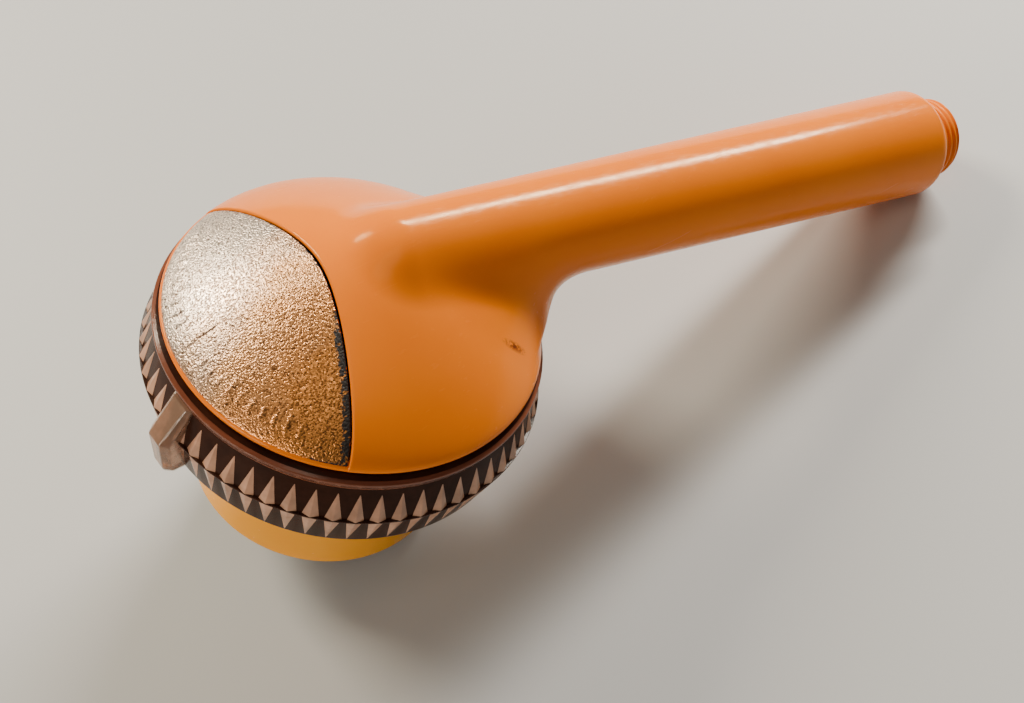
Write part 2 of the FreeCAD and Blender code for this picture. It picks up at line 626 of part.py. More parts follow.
def spray_chassis():
    """Plate below the disc, with the skirt that centres the cup and the inner divider."""
    blank = turned("chassis_blank", [
        ("0", "chassis_top"), ("chassis_flange", "chassis_top"), ("chassis_flange", "flange_low"),
        ("skirt_radius", "flange_low"), ("skirt_radius", "skirt_low"),
        ("skirt_radius - skirt_wall", "skirt_low"), ("skirt_radius - skirt_wall", "chassis_floor"),
        ("divider_radius", "chassis_floor"), ("divider_radius", "swirl_top"),
        ("divider_bore", "swirl_top"), ("divider_bore", "chassis_floor"),
        ("post_radius + post_wall", "chassis_floor"), ("post_radius + post_wall", "swirl_top"),
        ("0", "swirl_top")])
    tools = [
        rod("chassis_post_seat", "post_radius", "post_low", "chassis_top + past"),
        rod("chassis_screw_hole", "centre_shank", "swirl_top - past", "post_low + past"),
        rod("chassis_outer_port", "chassis_port_radius", "chassis_floor - past",
            "chassis_top + past", "outer_port_circle", OUTER_PORT_BEARING),
        rod("chassis_inner_port", "port_radius", "chassis_floor - past", "chassis_top + past",
            "inner_port_circle", INNER_PORT_BEARING),
        cut("cup_seal_groove",
            rod("cup_seal_groove_outside", "skirt_radius + past", "cup_seal_level - seal_half",
                "cup_seal_level + seal_half"),
            rod("cup_seal_groove_inside", "skirt_radius - cup_groove_depth",
                "cup_seal_level - 2 * seal_half", "cup_seal_level + 2 * seal_half"))]
    keep(drilled("chassis_bored", blank, tools), "spray_chassis")


def spray_cup():
    """Open cup with a ledge inside that the spray plate pulls up against the chassis."""
    keep(turned("cup_turned", [
        ("cup_bore", "flange_low"), ("cup_top_radius", "flange_low"),
        ("cup_foot_radius", "cup_foot + cup_round"), ("cup_foot_radius - cup_round", "cup_foot"),
        ("face_radius", "cup_foot"), ("face_radius", "face_top"),
        ("cup_ledge_bore", "face_top"), ("cup_ledge_bore", "cup_ledge_top"),
        ("cup_bore", "cup_ledge_top + ledge_slope")]), "spray_cup")


def spray_plate():
    """Face of the spray head: two circles of fine jets and the tube round the turbine."""
    blank = turned("plate_blank", [
        ("insert_radius", "face_low"), ("face_radius", "face_low"), ("face_radius", "face_top"),
        ("divider_radius", "face_top"), ("divider_radius", "swirl_low"),
        ("divider_bore", "swirl_low"), ("divider_bore", "face_top"),
        ("insert_radius", "face_top")])
    jets = []
    for circle, count in FINE_JETS:
        for step in range(count):
            jets.append(rod(f"jet_{count}_{step}", "fine_jet_radius", "face_low - past",
                            "face_top + past", str(circle), 360 * step / count))
    keep(drilled("plate_pierced", blank, jets), "spray_plate")


def massage_insert():
    """Middle of the face, with its wide jets and the seat of the centre screw."""
    blank = turned("insert_blank", [
        ("0", "insert_low"), ("insert_radius - insert_chamfer", "insert_low"),
        ("insert_radius", "insert_low + insert_chamfer"), ("insert_radius", "face_top"),
        ("insert_flange", "face_top"), ("insert_flange", "insert_top"), ("0", "insert_top")])
    tools = [
        rod("insert_screw_hole", "centre_shank", "insert_low - past", "insert_top + past"),
        rod("insert_screw_seat", "centre_head + head_gap", "insert_low - past",
            "insert_low + head_seat")]
    for step in range(MASSAGE_JETS):
        tools.append(rod(f"massage_jet_{step}", "massage_jet_radius", "insert_low - past",
                         "insert_top + past", "massage_jet_circle", 360 * step / MASSAGE_JETS))
    keep(drilled("insert_pierced", blank, tools), "massage_insert")


def swirl_plate():
    """Plate with slanted holes that turn the water before it meets the vanes."""
    blank = rod("swirl_blank", "divider_radius", "swirl_low", "swirl_top")
    tools = [rod("swirl_screw_hole", "centre_shank", "swirl_low - past", "swirl_top + past")]
    slant = FreeCAD.Rotation(FreeCAD.Vector(1, 0, 0), size("swirl_slant"))
    sunk = FreeCAD.Placement(FreeCAD.Vector(0, 0, -size("swirl_reach")), FreeCAD.Rotation())
    for step in range(SWIRL_HOLES):
        bearing = 360 * step / SWIRL_HOLES
        turn = FreeCAD.Rotation(FreeCAD.Vector(0, 0, 1), bearing)
        middle = polar(size("swirl_circle"), bearing, size("(swirl_low + swirl_top) / 2"))
        hole = document.addObject("Part::Cylinder", f"swirl_hole_{step}")
        hole.setExpression("Radius", bound("swirl_hole"))
        hole.setExpression("Height", bound("2 * swirl_reach"))
        hole.Placement = FreeCAD.Placement(middle, turn.multiply(slant)).multiply(sunk)
        tools.append(hole)
    keep(drilled("swirl_pierced", blank, tools), "swirl_plate")


def turbine():
    """Wheel with vanes and a half-round shutter that covers half of the massage jets."""
    core = rod("rotor_core", "rotor_hub", "rotor_low", "rotor_top")
    shutter = rod("shutter", "shutter_radius", "rotor_low", "rotor_low + shutter_thick",
                  sweep=(0, "180"))
    pieces = [core, shutter]
    for step in range(VANES):
        vane = document.addObject("Part::Box", f"vane_{step}")
        vane.setExpression("Length", bound("vane_tip - vane_root"))
        vane.setExpression("Width", bound("vane_thick"))
        vane.setExpression("Height", bound("vane_top - vane_low"))
        turn = FreeCAD.Rotation(FreeCAD.Vector(0, 0, 1), 360 * step / VANES)
        corner = FreeCAD.Vector(size("vane_root"), -size("vane_thick") / 2, size("vane_low"))
        vane.Placement = FreeCAD.Placement(turn.multVec(corner), turn)
        pieces.append(vane)
    bore = rod("rotor_bore", "sleeve_radius + running_gap", "rotor_low - past",
               "rotor_top + past")
    keep(cut("rotor_bored", fuse("rotor", pieces), bore), "turbine")


def centre_screw():
    """Long screw from the face, through the sleeve and chassis, into the post."""
    seat = "insert_low + head_seat"
    face = f"{seat} - centre_head_thick"
    shank = rod("centre_screw_shank", "centre_shank", seat, "centre_tip")
    head = rod("centre_screw_head", "centre_head", face, seat)
    slot = rod("centre_screw_socket", "centre_socket", f"{face} - past",
               f"{face} + centre_socket_depth")
    keep(fuse("centre_screw_whole", [shank, cut("centre_screw_driven", head, slot)]),
         "centre_screw")


spray_chassis()
spray_cup()
seal("cup_seal", "skirt_radius - cup_seal_inset", "cup_seal_level", True)
spray_plate()
massage_insert()
swirl_plate()
keep(cut("sleeve", rod("sleeve_outside", "sleeve_radius", "insert_top", "swirl_low"),
         rod("sleeve_inside", "centre_shank", "insert_top - past", "swirl_low + past")),
     "turbine_sleeve")
turbine()
centre_screw()
keep(turned("cap_turned", [
    ("0", "insert_low - cap_proud"),
    ("centre_head + head_gap - cap_chamfer", "insert_low - cap_proud"),
    ("centre_head + head_gap", "insert_low"),
    ("centre_head + head_gap", "insert_low + cap_sunk"), ("0", "insert_low + cap_sunk")]),
     "screw_cap")


# ---------------------------------------------------------------- detent

def detent_spring():
    """Coil spring behind the ball, its axis pointing out from the head axis."""
    length = size("spring_turns * spring_pitch")
    helix = Part.makeHelix(size("spring_pitch"), length, size("spring_radius"))
    start = FreeCAD.Vector(size("spring_radius"), 0, 0)
    section = Part.Wire(Part.Circle(start, FreeCAD.Vector(0, 1, 0), size("spring_wire")).toShape())
    coil = Part.Wire(helix).makePipeShell([section], True, True)
    coil.Placement = FreeCAD.Placement(
        polar(size("pocket_floor + spring_wire"), BALL_BEARING, size("ball_level")),
        FreeCAD.Rotation(FreeCAD.Vector(0, 0, 1), polar(1, BALL_BEARING, 0)))
    return coil


ball = Part.makeSphere(size("ball_radius"),
                       polar(size("ball_centre"), BALL_BEARING, size("ball_level")))
feature("detent_ball", ball)
feature("detent_spring", detent_spring())


# ---------------------------------------------------------------- lay it down and write it

document.recompute()
tilt = FreeCAD.Placement(FreeCAD.Vector(), FreeCAD.Rotation(FreeCAD.Vector(0, 1, 0),
                                                            size("rest_tilt")))
for thing in subparts:
    for path, formula in thing.ExpressionEngine:
        if path.startswith("Placement"):
            raise SystemExit(f"{thing.Label}: its placement is bound and can't be tilted")
    thing.Placement = tilt.multiply(thing.Placement)
document.recompute()
outline = Part.makeCompound([thing.Shape for thing in subparts if thing.Label in (
    "body_shell", "spray_cup", "selector_ring", "hose_nipple")]).optimalBoundingBox(False, False)
shift = FreeCAD.Placement(
    FreeCAD.Vector(-(outline.XMin + outline.XMax) / 2, -(outline.YMin + outline.YMax) / 2,
                   -outline.ZMin), FreeCAD.Rotation())
for thing in subparts:
    thing.Placement = shift.multiply(thing.Placement)
document.recompute()

for thing in document.Objects:
    if {"Invalid", "Error"} & set(thing.State):
        raise SystemExit(f"{thing.Label} failed: {thing.State}")
for thing in subparts:
    if thing.Shape.isNull() or not thing.Shape.isValid() or not thing.Shape.Solids:
        raise SystemExit(f"{thing.Label} has no valid solid")

os.makedirs("parts", exist_ok=True)
for thing in subparts:
    thing.Shape.exportStep(f"parts/{thing.Label}.step")
    print(f"{thing.Label}: {len(thing.Shape.Solids)} solid(s), {thing.Shape.Volume:.0f} mm3")
print("ridge centre at", shift.multiply(tilt).Base, "box", outline)
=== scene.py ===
"""Looks of a hand shower with a massage selector ring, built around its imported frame.

Every visible moulding is worked out in the head's own axes (millimetres, Z along the head axis,
X towards the handle) and then carried into the row frame by the axis of the ring's joint.
"""

import json
import logging
import math
from dataclasses import dataclass, field
from enum import Enum

import bmesh
import bpy
import numpy as np
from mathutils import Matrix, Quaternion, Vector


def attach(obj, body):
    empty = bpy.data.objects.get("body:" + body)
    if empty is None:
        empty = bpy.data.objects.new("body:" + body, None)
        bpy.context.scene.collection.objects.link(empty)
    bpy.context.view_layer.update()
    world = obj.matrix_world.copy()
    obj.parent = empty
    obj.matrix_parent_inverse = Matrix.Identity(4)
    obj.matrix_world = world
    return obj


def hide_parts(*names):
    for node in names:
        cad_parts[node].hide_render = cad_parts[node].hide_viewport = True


LOG = logging.getLogger("hand_shower")
Array = np.ndarray
Colour = tuple[float, float, float, float]
Pair = tuple[float, float]
Triple = tuple[float, float, float]
Socket = bpy.types.NodeSocket
Piece = bpy.types.Object
MM = 0.001
CREASE_ANGLE = 30.0
MIX_INPUTS = (0, 6, 7)
MIX_RESULT = 2

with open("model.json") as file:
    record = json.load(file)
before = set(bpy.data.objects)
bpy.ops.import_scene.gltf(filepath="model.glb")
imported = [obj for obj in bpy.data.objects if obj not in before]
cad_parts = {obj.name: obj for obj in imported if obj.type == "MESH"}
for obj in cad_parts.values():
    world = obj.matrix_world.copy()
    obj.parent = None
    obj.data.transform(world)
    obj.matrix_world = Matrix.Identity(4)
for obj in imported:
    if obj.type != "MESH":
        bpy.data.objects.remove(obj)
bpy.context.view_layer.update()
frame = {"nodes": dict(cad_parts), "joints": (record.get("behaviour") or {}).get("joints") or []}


# ---- geometry helpers

@dataclass(frozen=True)
class HeadAxes:
    """Axes of the shower head in the row frame."""

    origin: Array
    along: Array
    side: Array
    up: Array

    @classmethod
    def from_joint(cls, name: str) -> "HeadAxes":
        """Reads the head's axes from the ring's joint.

        Args:
            name: the joint's name.

        Returns:
            Axes with Z along the joint and Y kept level.
        """
        joint = next(j for j in frame["joints"] if j["name"] == name)
        up = np.array(joint["axis"], float)
        up /= np.linalg.norm(up)
        side = np.array((0.0, 1.0, 0.0))
        return cls(np.array(joint["pos_m"], float), np.cross(side, up), side, up)

    def to_row(self, points: Array) -> Array:
        """Carries points from head millimetres to row metres.

        Args:
            points: array whose last axis holds x, y and z.

        Returns:
            The same points in the row frame.
        """
        turned = (points[..., :1] * self.along + points[..., 1:2] * self.side
                  + points[..., 2:3] * self.up)
        return self.origin + MM * turned


HEAD = HeadAxes.from_joint("ring_turn")


def smooth_step(low: float, high: float, value: Array) -> Array:
    """Ramp from 0 at low to 1 at high with level ends."""
    share = np.clip((value - low) / (high - low), 0.0, 1.0)
    return share * share * (3.0 - 2.0 * share)


def grid_faces(rows: int, columns: int, close_rows: bool = False,
               close_columns: bool = False) -> Array:
    """Four-cornered faces over a grid of points numbered row by row.

    Args:
        rows: number of rows of points.
        columns: number of points in a row.
        close_rows: joins the last row to the first.
        close_columns: joins each row's last point to its first.

    Returns:
        Array of four point numbers for each face.
    """
    row = np.arange(rows if close_rows else rows - 1)[:, None]
    column = np.arange(columns if close_columns else columns - 1)[None, :]
    next_row, next_column = (row + 1) % rows, (column + 1) % columns
    corners = (row * columns + column, row * columns + next_column,
               next_row * columns + next_column, next_row * columns + column)
    return np.stack([np.broadcast_to(c, (len(row), column.shape[1])) for c in corners],
                    -1).reshape(-1, 4)


def circle_points(profile: Array, count: int, start: float = 0.0,
                  span: float = 360.0, closed: bool = True) -> Array:
    """Turns a profile of (radius, level) about the head axis.

    Args:
        profile: array of radius and level pairs.
        count: number of copies of the profile.
        start: bearing of the first copy in degrees.
        span: angle from the first copy to the last, or to its return when closed.
        closed: leaves out the copy that would fall on the first one.

    Returns:
        Array of count by len(profile) points.
    """
    bearing = np.radians(start + span * np.arange(count) / (count if closed else count - 1))
    return np.stack([profile[None, :, 0] * np.cos(bearing)[:, None],
                     profile[None, :, 0] * np.sin(bearing)[:, None],
                     np.broadcast_to(profile[None, :, 1], (count, len(profile)))], -1)


def rounded(profile: tuple[Pair, ...], radius: float, steps: int = 4) -> Array:
    """Softens the inner corners of an open outline with short curves.

    Each corner is replaced by a curve through two points radius away from it, on its two sides,
    that bends as a parabola does.

    Args:
        profile: corners of the outline.
        radius: distance from the corner at which the curve starts, at most 0.45 of a side.
        steps: number of pieces in each curve.

    Returns:
        Array of the points of the softened outline.
    """
    corners = np.array(profile, float)
    points = [corners[:1]]
    share = np.linspace(0.0, 1.0, steps + 1)[:, None]
    for before, here, after in zip(corners, corners[1:], corners[2:]):
        legs = [end - here for end in (before, after)]
        reach = [min(radius, 0.45 * np.linalg.norm(leg)) / np.linalg.norm(leg) for leg in legs]
        first, last = here + legs[0] * reach[0], here + legs[1] * reach[1]
        points.append((1 - share) ** 2 * first + 2 * share * (1 - share) * here
                      + share ** 2 * last)
    points.append(corners[-1:])
    return np.concatenate(points)


class Shading(Enum):
    """How the faces of a piece meet."""

    SMOOTH = "smooth"
    FLAT = "flat"
    BY_ANGLE = "by angle"


def add_object(name: str, data: bpy.types.ID) -> Piece:
    """Puts an object with its data into the scene."""
    made = bpy.data.objects.new(name, data)
    bpy.context.scene.collection.objects.link(made)
    return made


def make_piece(name: str, points: Array, faces: Array, shading: Shading = Shading.SMOOTH,
               merge: float = 0.0, attributes: dict[str, Array] | None = None
               ) -> Piece:
    """Puts points and faces into a mesh object in the row frame.

    Args:
        name: name of the piece.
        points: points in head millimetres.
        faces: array of three or four point numbers for each face.
        shading: how the faces meet.
        merge: distance in millimetres under which points are joined; 0 leaves them.
        attributes: values for each point, kept in the mesh under their names.

    Returns:
        The new object, at the origin and unturned.
    """
    mesh = bpy.data.meshes.new(name)
    mesh.from_pydata(HEAD.to_row(points.reshape(-1, 3)), [], faces)
    for key, values in (attributes or {}).items():
        layer = mesh.attributes.new(key, "FLOAT", "POINT")
        layer.data.foreach_set("value", np.ascontiguousarray(values, np.float32).ravel())
    piece = add_object(name, mesh)
    tidy_mesh(mesh, merge * MM)
    if shading is not Shading.FLAT:
        mesh.polygons.foreach_set("use_smooth", np.ones(len(mesh.polygons), bool))
    if shading is Shading.BY_ANGLE:
        mesh.set_sharp_from_angle(angle=math.radians(CREASE_ANGLE))
    mesh.update()
    return piece


def tidy_mesh(mesh: bpy.types.Mesh, merge: float) -> None:
    """Joins doubled points, drops empty faces and points every face outwards.

    Args:
        mesh: the mesh to tidy.
        merge: distance in metres under which points are joined.
    """
    work = bmesh.new()
    work.from_mesh(mesh)
    if merge > 0:
        bmesh.ops.remove_doubles(work, verts=work.verts, dist=merge)
    bmesh.ops.dissolve_degenerate(work, edges=work.edges, dist=merge)
    bmesh.ops.recalc_face_normals(work, faces=work.faces)
    work.to_mesh(mesh)
    work.free()


def add_modifier(piece: Piece, kind: str, **settings: object) -> None:
    """Adds a modifier with its settings."""
    modifier = piece.modifiers.new(kind.lower(), kind)
    for key, value in settings.items():
        setattr(modifier, key, value)


def add_bevel(piece: Piece, width: float, angle: float) -> None:
    """Rounds edges sharper than an angle in degrees by a width in millimetres."""
    add_modifier(piece, "BEVEL", width=width * MM, segments=2, limit_method="ANGLE",
                 angle_limit=math.radians(angle))


def turned_piece(name: str, outline: Array, count: int, merge: float = 0.0) -> Piece:
    """Piece made by turning a closed outline about the head axis in a number of steps."""
    faces = grid_faces(count, len(outline), close_rows=True, close_columns=True)
    return make_piece(name, circle_points(outline, count), faces, Shading.BY_ANGLE, merge=merge)


# ---- finishes

def lighter(colour: Colour, factor: float) -> Colour:
    """Colour with its parts multiplied and held at 1."""
    return tuple(min(1.0, c * factor) for c in colour[:3]) + (1.0,)


class Nodes:
    """Small builder for a material's node tree."""

    def __init__(self, name: str) -> None:
        """Starts a material with a Principled shader and the piece's own coordinates."""
        self.material = bpy.data.materials.new(name)
        self.material.use_nodes = True
        self.tree = self.material.node_tree
        self.shader = self.tree.nodes["Principled BSDF"]
        self.place = self.tree.nodes.new("ShaderNodeTexCoord").outputs["Object"]

    def feed(self, target: Socket, item: object) -> None:
        """Joins an output to an input, or sets the input's value."""
        if isinstance(item, Socket):
            self.tree.links.new(item, target)
        else:
            target.default_value = item

    def node(self, kind: str, **settings: object) -> bpy.types.Node:
        """Adds a node and sets its plain properties and its inputs' values.

        Args:
            kind: the node's type.
            settings: properties by name; names that aren't properties are inputs, with
                underscores for spaces.

        Returns:
            The new node.
        """
        made = self.tree.nodes.new("ShaderNode" + kind)
        for key, value in settings.items():
            if hasattr(made, key):
                setattr(made, key, value)
            else:
                self.feed(made.inputs[key.replace("_", " ")], value)
        return made

    def value(self, key: str, amount: object) -> None:
        """Sets or links one of the shader's inputs."""
        self.feed(self.shader.inputs[key], amount)

    def noise(self, scale: float, detail: float = 2.0, rough: float = 0.5,
              place: Socket | None = None) -> Socket:
        """Cloudy pattern from 0 to 1; scale counts its cells in a metre."""
        made = self.node("TexNoise", Scale=scale, Detail=detail, Roughness=rough,
                         Vector=place or self.place)
        return made.outputs["Fac"]

    def ramp(self, source: Socket, stops: tuple[tuple[float, Colour], ...]
             ) -> Socket:
        """Colours along a value from 0 to 1."""
        made = self.node("ValToRGB", Fac=source)
        bar = made.color_ramp.elements
        for _ in range(len(stops) - len(bar)):
            bar.new(1.0)
        for stop, (where, colour) in zip(bar, stops):
            stop.position = where
            stop.color = colour
        return made.outputs["Color"]

    def span(self, source: Socket, low: float, high: float, to_low: float = 0.0,
             to_high: float = 1.0) -> Socket:
        """Stretches a value from one range to another and holds it there."""
        made = self.node("MapRange", clamp=True, Value=source, From_Min=low, From_Max=high,
                         To_Min=to_low, To_Max=to_high)
        return made.outputs["Result"]

    def math(self, operation: str, first: object, second: object = 0.0) -> Socket:
        """One step of arithmetic on two values."""
        made = self.node("Math", operation=operation)
        for socket, item in zip(made.inputs, (first, second)):
            self.feed(socket, item)
        return made.outputs["Value"]

    def vector(self, operation: str, first: object, second: object) -> Socket:
        """One step of arithmetic on vectors; SCALE takes a number as its second value."""
        made = self.node("VectorMath", operation=operation)
        self.feed(made.inputs[0], first)
        self.feed(made.inputs["Scale" if operation == "SCALE" else 1], second)
        return made.outputs["Value" if operation in ("DOT_PRODUCT", "DISTANCE") else "Vector"]

    def mix(self, share: object, first: object, second: object) -> Socket:
        """Mixes two colours."""
        made = self.node("Mix", data_type="RGBA")
        for number, item in zip(MIX_INPUTS, (share, first, second)):
            self.feed(made.inputs[number], item)
        return made.outputs[MIX_RESULT]

    def bump(self, height: Socket, strength: float, depth: float,
             under: Socket | None = None) -> Socket:
        """Small relief from a height; depth is in metres."""
        made = self.node("Bump", Strength=strength, Distance=depth, Height=height)
        if under:
            self.feed(made.inputs["Normal"], under)
        return made.outputs["Normal"]

    def attribute(self, name: str) -> Socket:
        """Value that the mesh holds for each point."""
        return self.node("Attribute", attribute_name=name).outputs["Fac"]


@dataclass(frozen=True)
class GlossyPlastic:
    """Injection moulded plastic with faint mottling, fine scratches and small scuffs.

    Each mark has its middle in head millimetres, its length and its width.
    """

    name: str
    colour: Colour
    shade: Colour
    roughness: float = 0.17
    scatter: float = 0.05
    scuffed: bool = False
    scratch_scale: Triple = (12.0, 900.0, 900.0)
    scratch_turn: float = 22.0
    shine: float = 0.24
    shine_tint: Colour = (1.0, 0.8, 0.42, 1.0)
    scatter_reach: Triple = (0.004, 0.0014, 0.0004)
    scuff_colour: Colour = (0.09, 0.008, 0.003, 1.0)
    scuff_core: float = 0.3
    slant: Triple = (0.77, -0.29, -0.56)
    marks: tuple[tuple[Triple, float, float], ...] = (
        ((25.0, -24.0, 21.0), 4.4, 1.3), ((26.0, -9.0, 25.8), 0.9, 0.6),
        ((36.5, -9.0, 21.5), 0.9, 0.6))

    def build(self) -> bpy.types.Material:
        """Makes the material."""
        nodes = Nodes(self.name)
        cloud = nodes.noise(38.0, 3.0, 0.55)
        colour = nodes.mix(nodes.span(cloud, 0.3, 0.75), self.colour, self.shade)
        stretch = nodes.node("Mapping", Vector=nodes.place)
        stretch.inputs["Rotation"].default_value = (0.0, math.radians(self.scratch_turn), 0.0)
        stretch.inputs["Scale"].default_value = self.scratch_scale
        lines = nodes.noise(1.0, 4.0, 0.6, stretch.outputs["Vector"])
        dust = nodes.noise(2600.0, 2.0, 0.6)
        rough = nodes.math("ADD", nodes.span(lines, 0.45, 0.75, self.roughness - 0.04,
                                             self.roughness + 0.12),
                           nodes.span(cloud, 0.3, 0.8, 0.0, 0.06))
        if self.scuffed:
            colour, rough = self.add_scuffs(nodes, colour, rough)
        nodes.value("Base Color", colour)
        nodes.value("Roughness", rough)
        nodes.value("Specular IOR Level", self.shine)
        nodes.value("Specular Tint", self.shine_tint)
        nodes.value("Subsurface Weight", self.scatter)
        nodes.value("Subsurface Radius", self.scatter_reach)
        relief = nodes.bump(lines, 0.05, 0.0001)
        nodes.value("Normal", nodes.bump(dust, 0.06, 0.00005, relief))
        return nodes.material

    def add_scuffs(self, nodes: Nodes, colour: Socket,
                   rough: Socket
                   ) -> tuple[Socket, Socket]:
        """Adds a few dark rubbed marks on the side of the dome.

        Args:
            nodes: the material's builder.
            colour: colour so far.
            rough: roughness so far.

        Returns:
            The marked colour and roughness.
        """
        speck = nodes.span(nodes.noise(1500.0, 3.0, 0.7), 0.40, 0.50)
        slant = tuple(np.array(self.slant) @ np.stack([HEAD.along, HEAD.side, HEAD.up]))
        for middle, length, width in self.marks:
            offset = nodes.vector("SUBTRACT", nodes.place, tuple(HEAD.to_row(np.array(middle))))
            along = nodes.vector("DOT_PRODUCT", offset, slant)
            pull = nodes.vector("SCALE", slant,
                                nodes.math("MULTIPLY", along, 1.0 - width / length))
            area = nodes.span(nodes.vector("DISTANCE", offset, pull), width * MM,
                              self.scuff_core * width * MM)
            mark = nodes.math("MULTIPLY", area, speck)
            colour = nodes.mix(nodes.math("MULTIPLY", mark, 0.9), colour, self.scuff_colour)
            rough = nodes.math("ADD", rough, nodes.math("MULTIPLY", mark, 0.3))
        return colour, rough


@dataclass(frozen=True)
class MetallisedPlastic:
    """Thin metal coat on grained plastic, rubbed through to black along its edges, with a thin
    painted shade line in the gap along its back edge and a painted warm reflection that turns it
    coppery.
    """

    name: str
    # Painted warm reflection: colours from pale silver to copper along the stored share.
    reflection_colours: tuple[tuple[float, Colour], ...] = (
        (0.1, (0.95, 0.80, 0.68, 1.0)), (0.5, (0.93, 0.52, 0.27, 1.0)),
        (0.9, (0.88, 0.36, 0.10, 1.0)))
    pit_colour: Colour = (0.12, 0.045, 0.02, 1.0)
    # Black where the coat is rubbed through, and for the painted shade line in the back edge's
    # gap.
    bare_and_shade_colour: Colour = (0.012, 0.008, 0.008, 1.0)

    def build(self) -> bpy.types.Material:
        """Makes the material."""
        nodes = Nodes(self.name)
        wear_and_gap_shade = nodes.attribute("wear_and_gap_shade")
        broad = nodes.noise(90.0, 4.0, 0.6)
        fine = nodes.noise(1500.0, 3.0, 0.65)
        grain = nodes.noise(2100.0, 1.5, 0.55)
        # Painted warm reflection: the mesh's stored share, with some random variation.
        warm_reflection = nodes.math("ADD", nodes.attribute("warm_reflection"), nodes.span(broad, 0.3, 0.7, -0.12, 0.12))
        reflection_colours = nodes.ramp(warm_reflection, self.reflection_colours)
        pits = nodes.span(grain, 0.49, 0.38)
        metal = nodes.mix(nodes.math("MULTIPLY", pits, 0.75), reflection_colours, self.pit_colour)
        # Rubbed-through wear and the thin painted shade line in the back edge's gap, both turned
        # black.
        edge = nodes.span(nodes.math("ADD", wear_and_gap_shade, nodes.span(fine, 0.3, 0.7, -0.22, 0.22)),
                          0.46, 0.54)
        speck = nodes.span(nodes.noise(900.0, 1.0, 0.5), 0.61, 0.65)
        bare_and_shade = nodes.math("MULTIPLY", edge, nodes.math("SUBTRACT", 1.0, speck))
        nodes.value("Base Color", nodes.mix(bare_and_shade, metal, self.bare_and_shade_colour))
        nodes.value("Metallic", nodes.span(bare_and_shade, 0.0, 1.0, 1.0, 0.0))
        nodes.value("Roughness", nodes.span(bare_and_shade, 0.0, 1.0, 0.3, 0.5))
        relief = nodes.bump(nodes.span(grain, 0.3, 0.6), 0.6, 0.00016)
        nodes.value("Normal", nodes.bump(fine, 0.15, 0.00006, relief))
        return nodes.material


@dataclass(frozen=True)
class SmokyPlastic:
    """Clear plastic with a smoky brown tint."""

    name: str
    colour: Colour
    clear: float
    roughness: float
    shine: float = 0.5
    bend: float = 1.49
    streaks: float = 0.0
    mottling: float = 1.7
    wave: float = 0.0008

    def build(self) -> bpy.types.Material:
        """Makes the material."""
        nodes = Nodes(self.name)
        cloud = nodes.noise(160.0, 3.0, 0.6)
        fine = nodes.noise(2400.0, 2.0, 0.6)
        colour = nodes.mix(nodes.span(cloud, 0.35, 0.7), self.colour,
                           lighter(self.colour, self.mottling))
        if self.streaks:
            colour = self.add_streaks(nodes, cloud, colour)
        nodes.value("Base Color", colour)
        nodes.value("Transmission Weight", self.clear)
        nodes.value("IOR", self.bend)
        nodes.value("Specular IOR Level", self.shine)
        nodes.value("Roughness", nodes.span(fine, 0.3, 0.75, self.roughness,
                                            self.roughness + 0.12))
        nodes.value("Normal", nodes.bump(fine, 0.12, 0.0001))
        return nodes.material

    def add_streaks(self, nodes: Nodes, cloud: Socket,
                    colour: Socket) -> Socket:
        """Adds thin wavy light streaks that run round the ring, level above level.

        Args:
            nodes: the material's builder.
            cloud: slow noise that makes the streaks wave.
            colour: colour so far.

        Returns:
            The streaked colour.
        """
        level = nodes.vector("DOT_PRODUCT", nodes.place, tuple(HEAD.up))
        waved = nodes.math("ADD", level, nodes.math("MULTIPLY", cloud, self.wave))
        lines = nodes.node("TexNoise", noise_dimensions="1D", W=waved, Scale=1500.0,
                           Detail=1.0).outputs["Fac"]
        return nodes.mix(nodes.span(lines, 0.42, 0.7), colour, lighter(self.colour, self.streaks))


@dataclass(frozen=True)
class SimpleMoulding:
    """Plain moulded, turned or rubber surface of an inner piece, with a fine texture."""

    name: str
    colour: Colour
    roughness: float
    metal: float = 0.0
    grain: float = 1400.0
    mottling: float = 1.35

    def build(self) -> bpy.types.Material:
        """Makes the material."""
        nodes = Nodes(self.name)
        fine = nodes.noise(self.grain, 3.0, 0.6)
        nodes.value("Base Color", nodes.mix(nodes.noise(120.0), self.colour,
                                            lighter(self.colour, self.mottling)))
        nodes.value("Metallic", self.metal)
        nodes.value("Roughness", nodes.span(fine, 0.3, 0.7, self.roughness - 0.06,
                                            self.roughness + 0.1))
        nodes.value("Normal", nodes.bump(fine, 0.15, 0.0001))
        return nodes.material


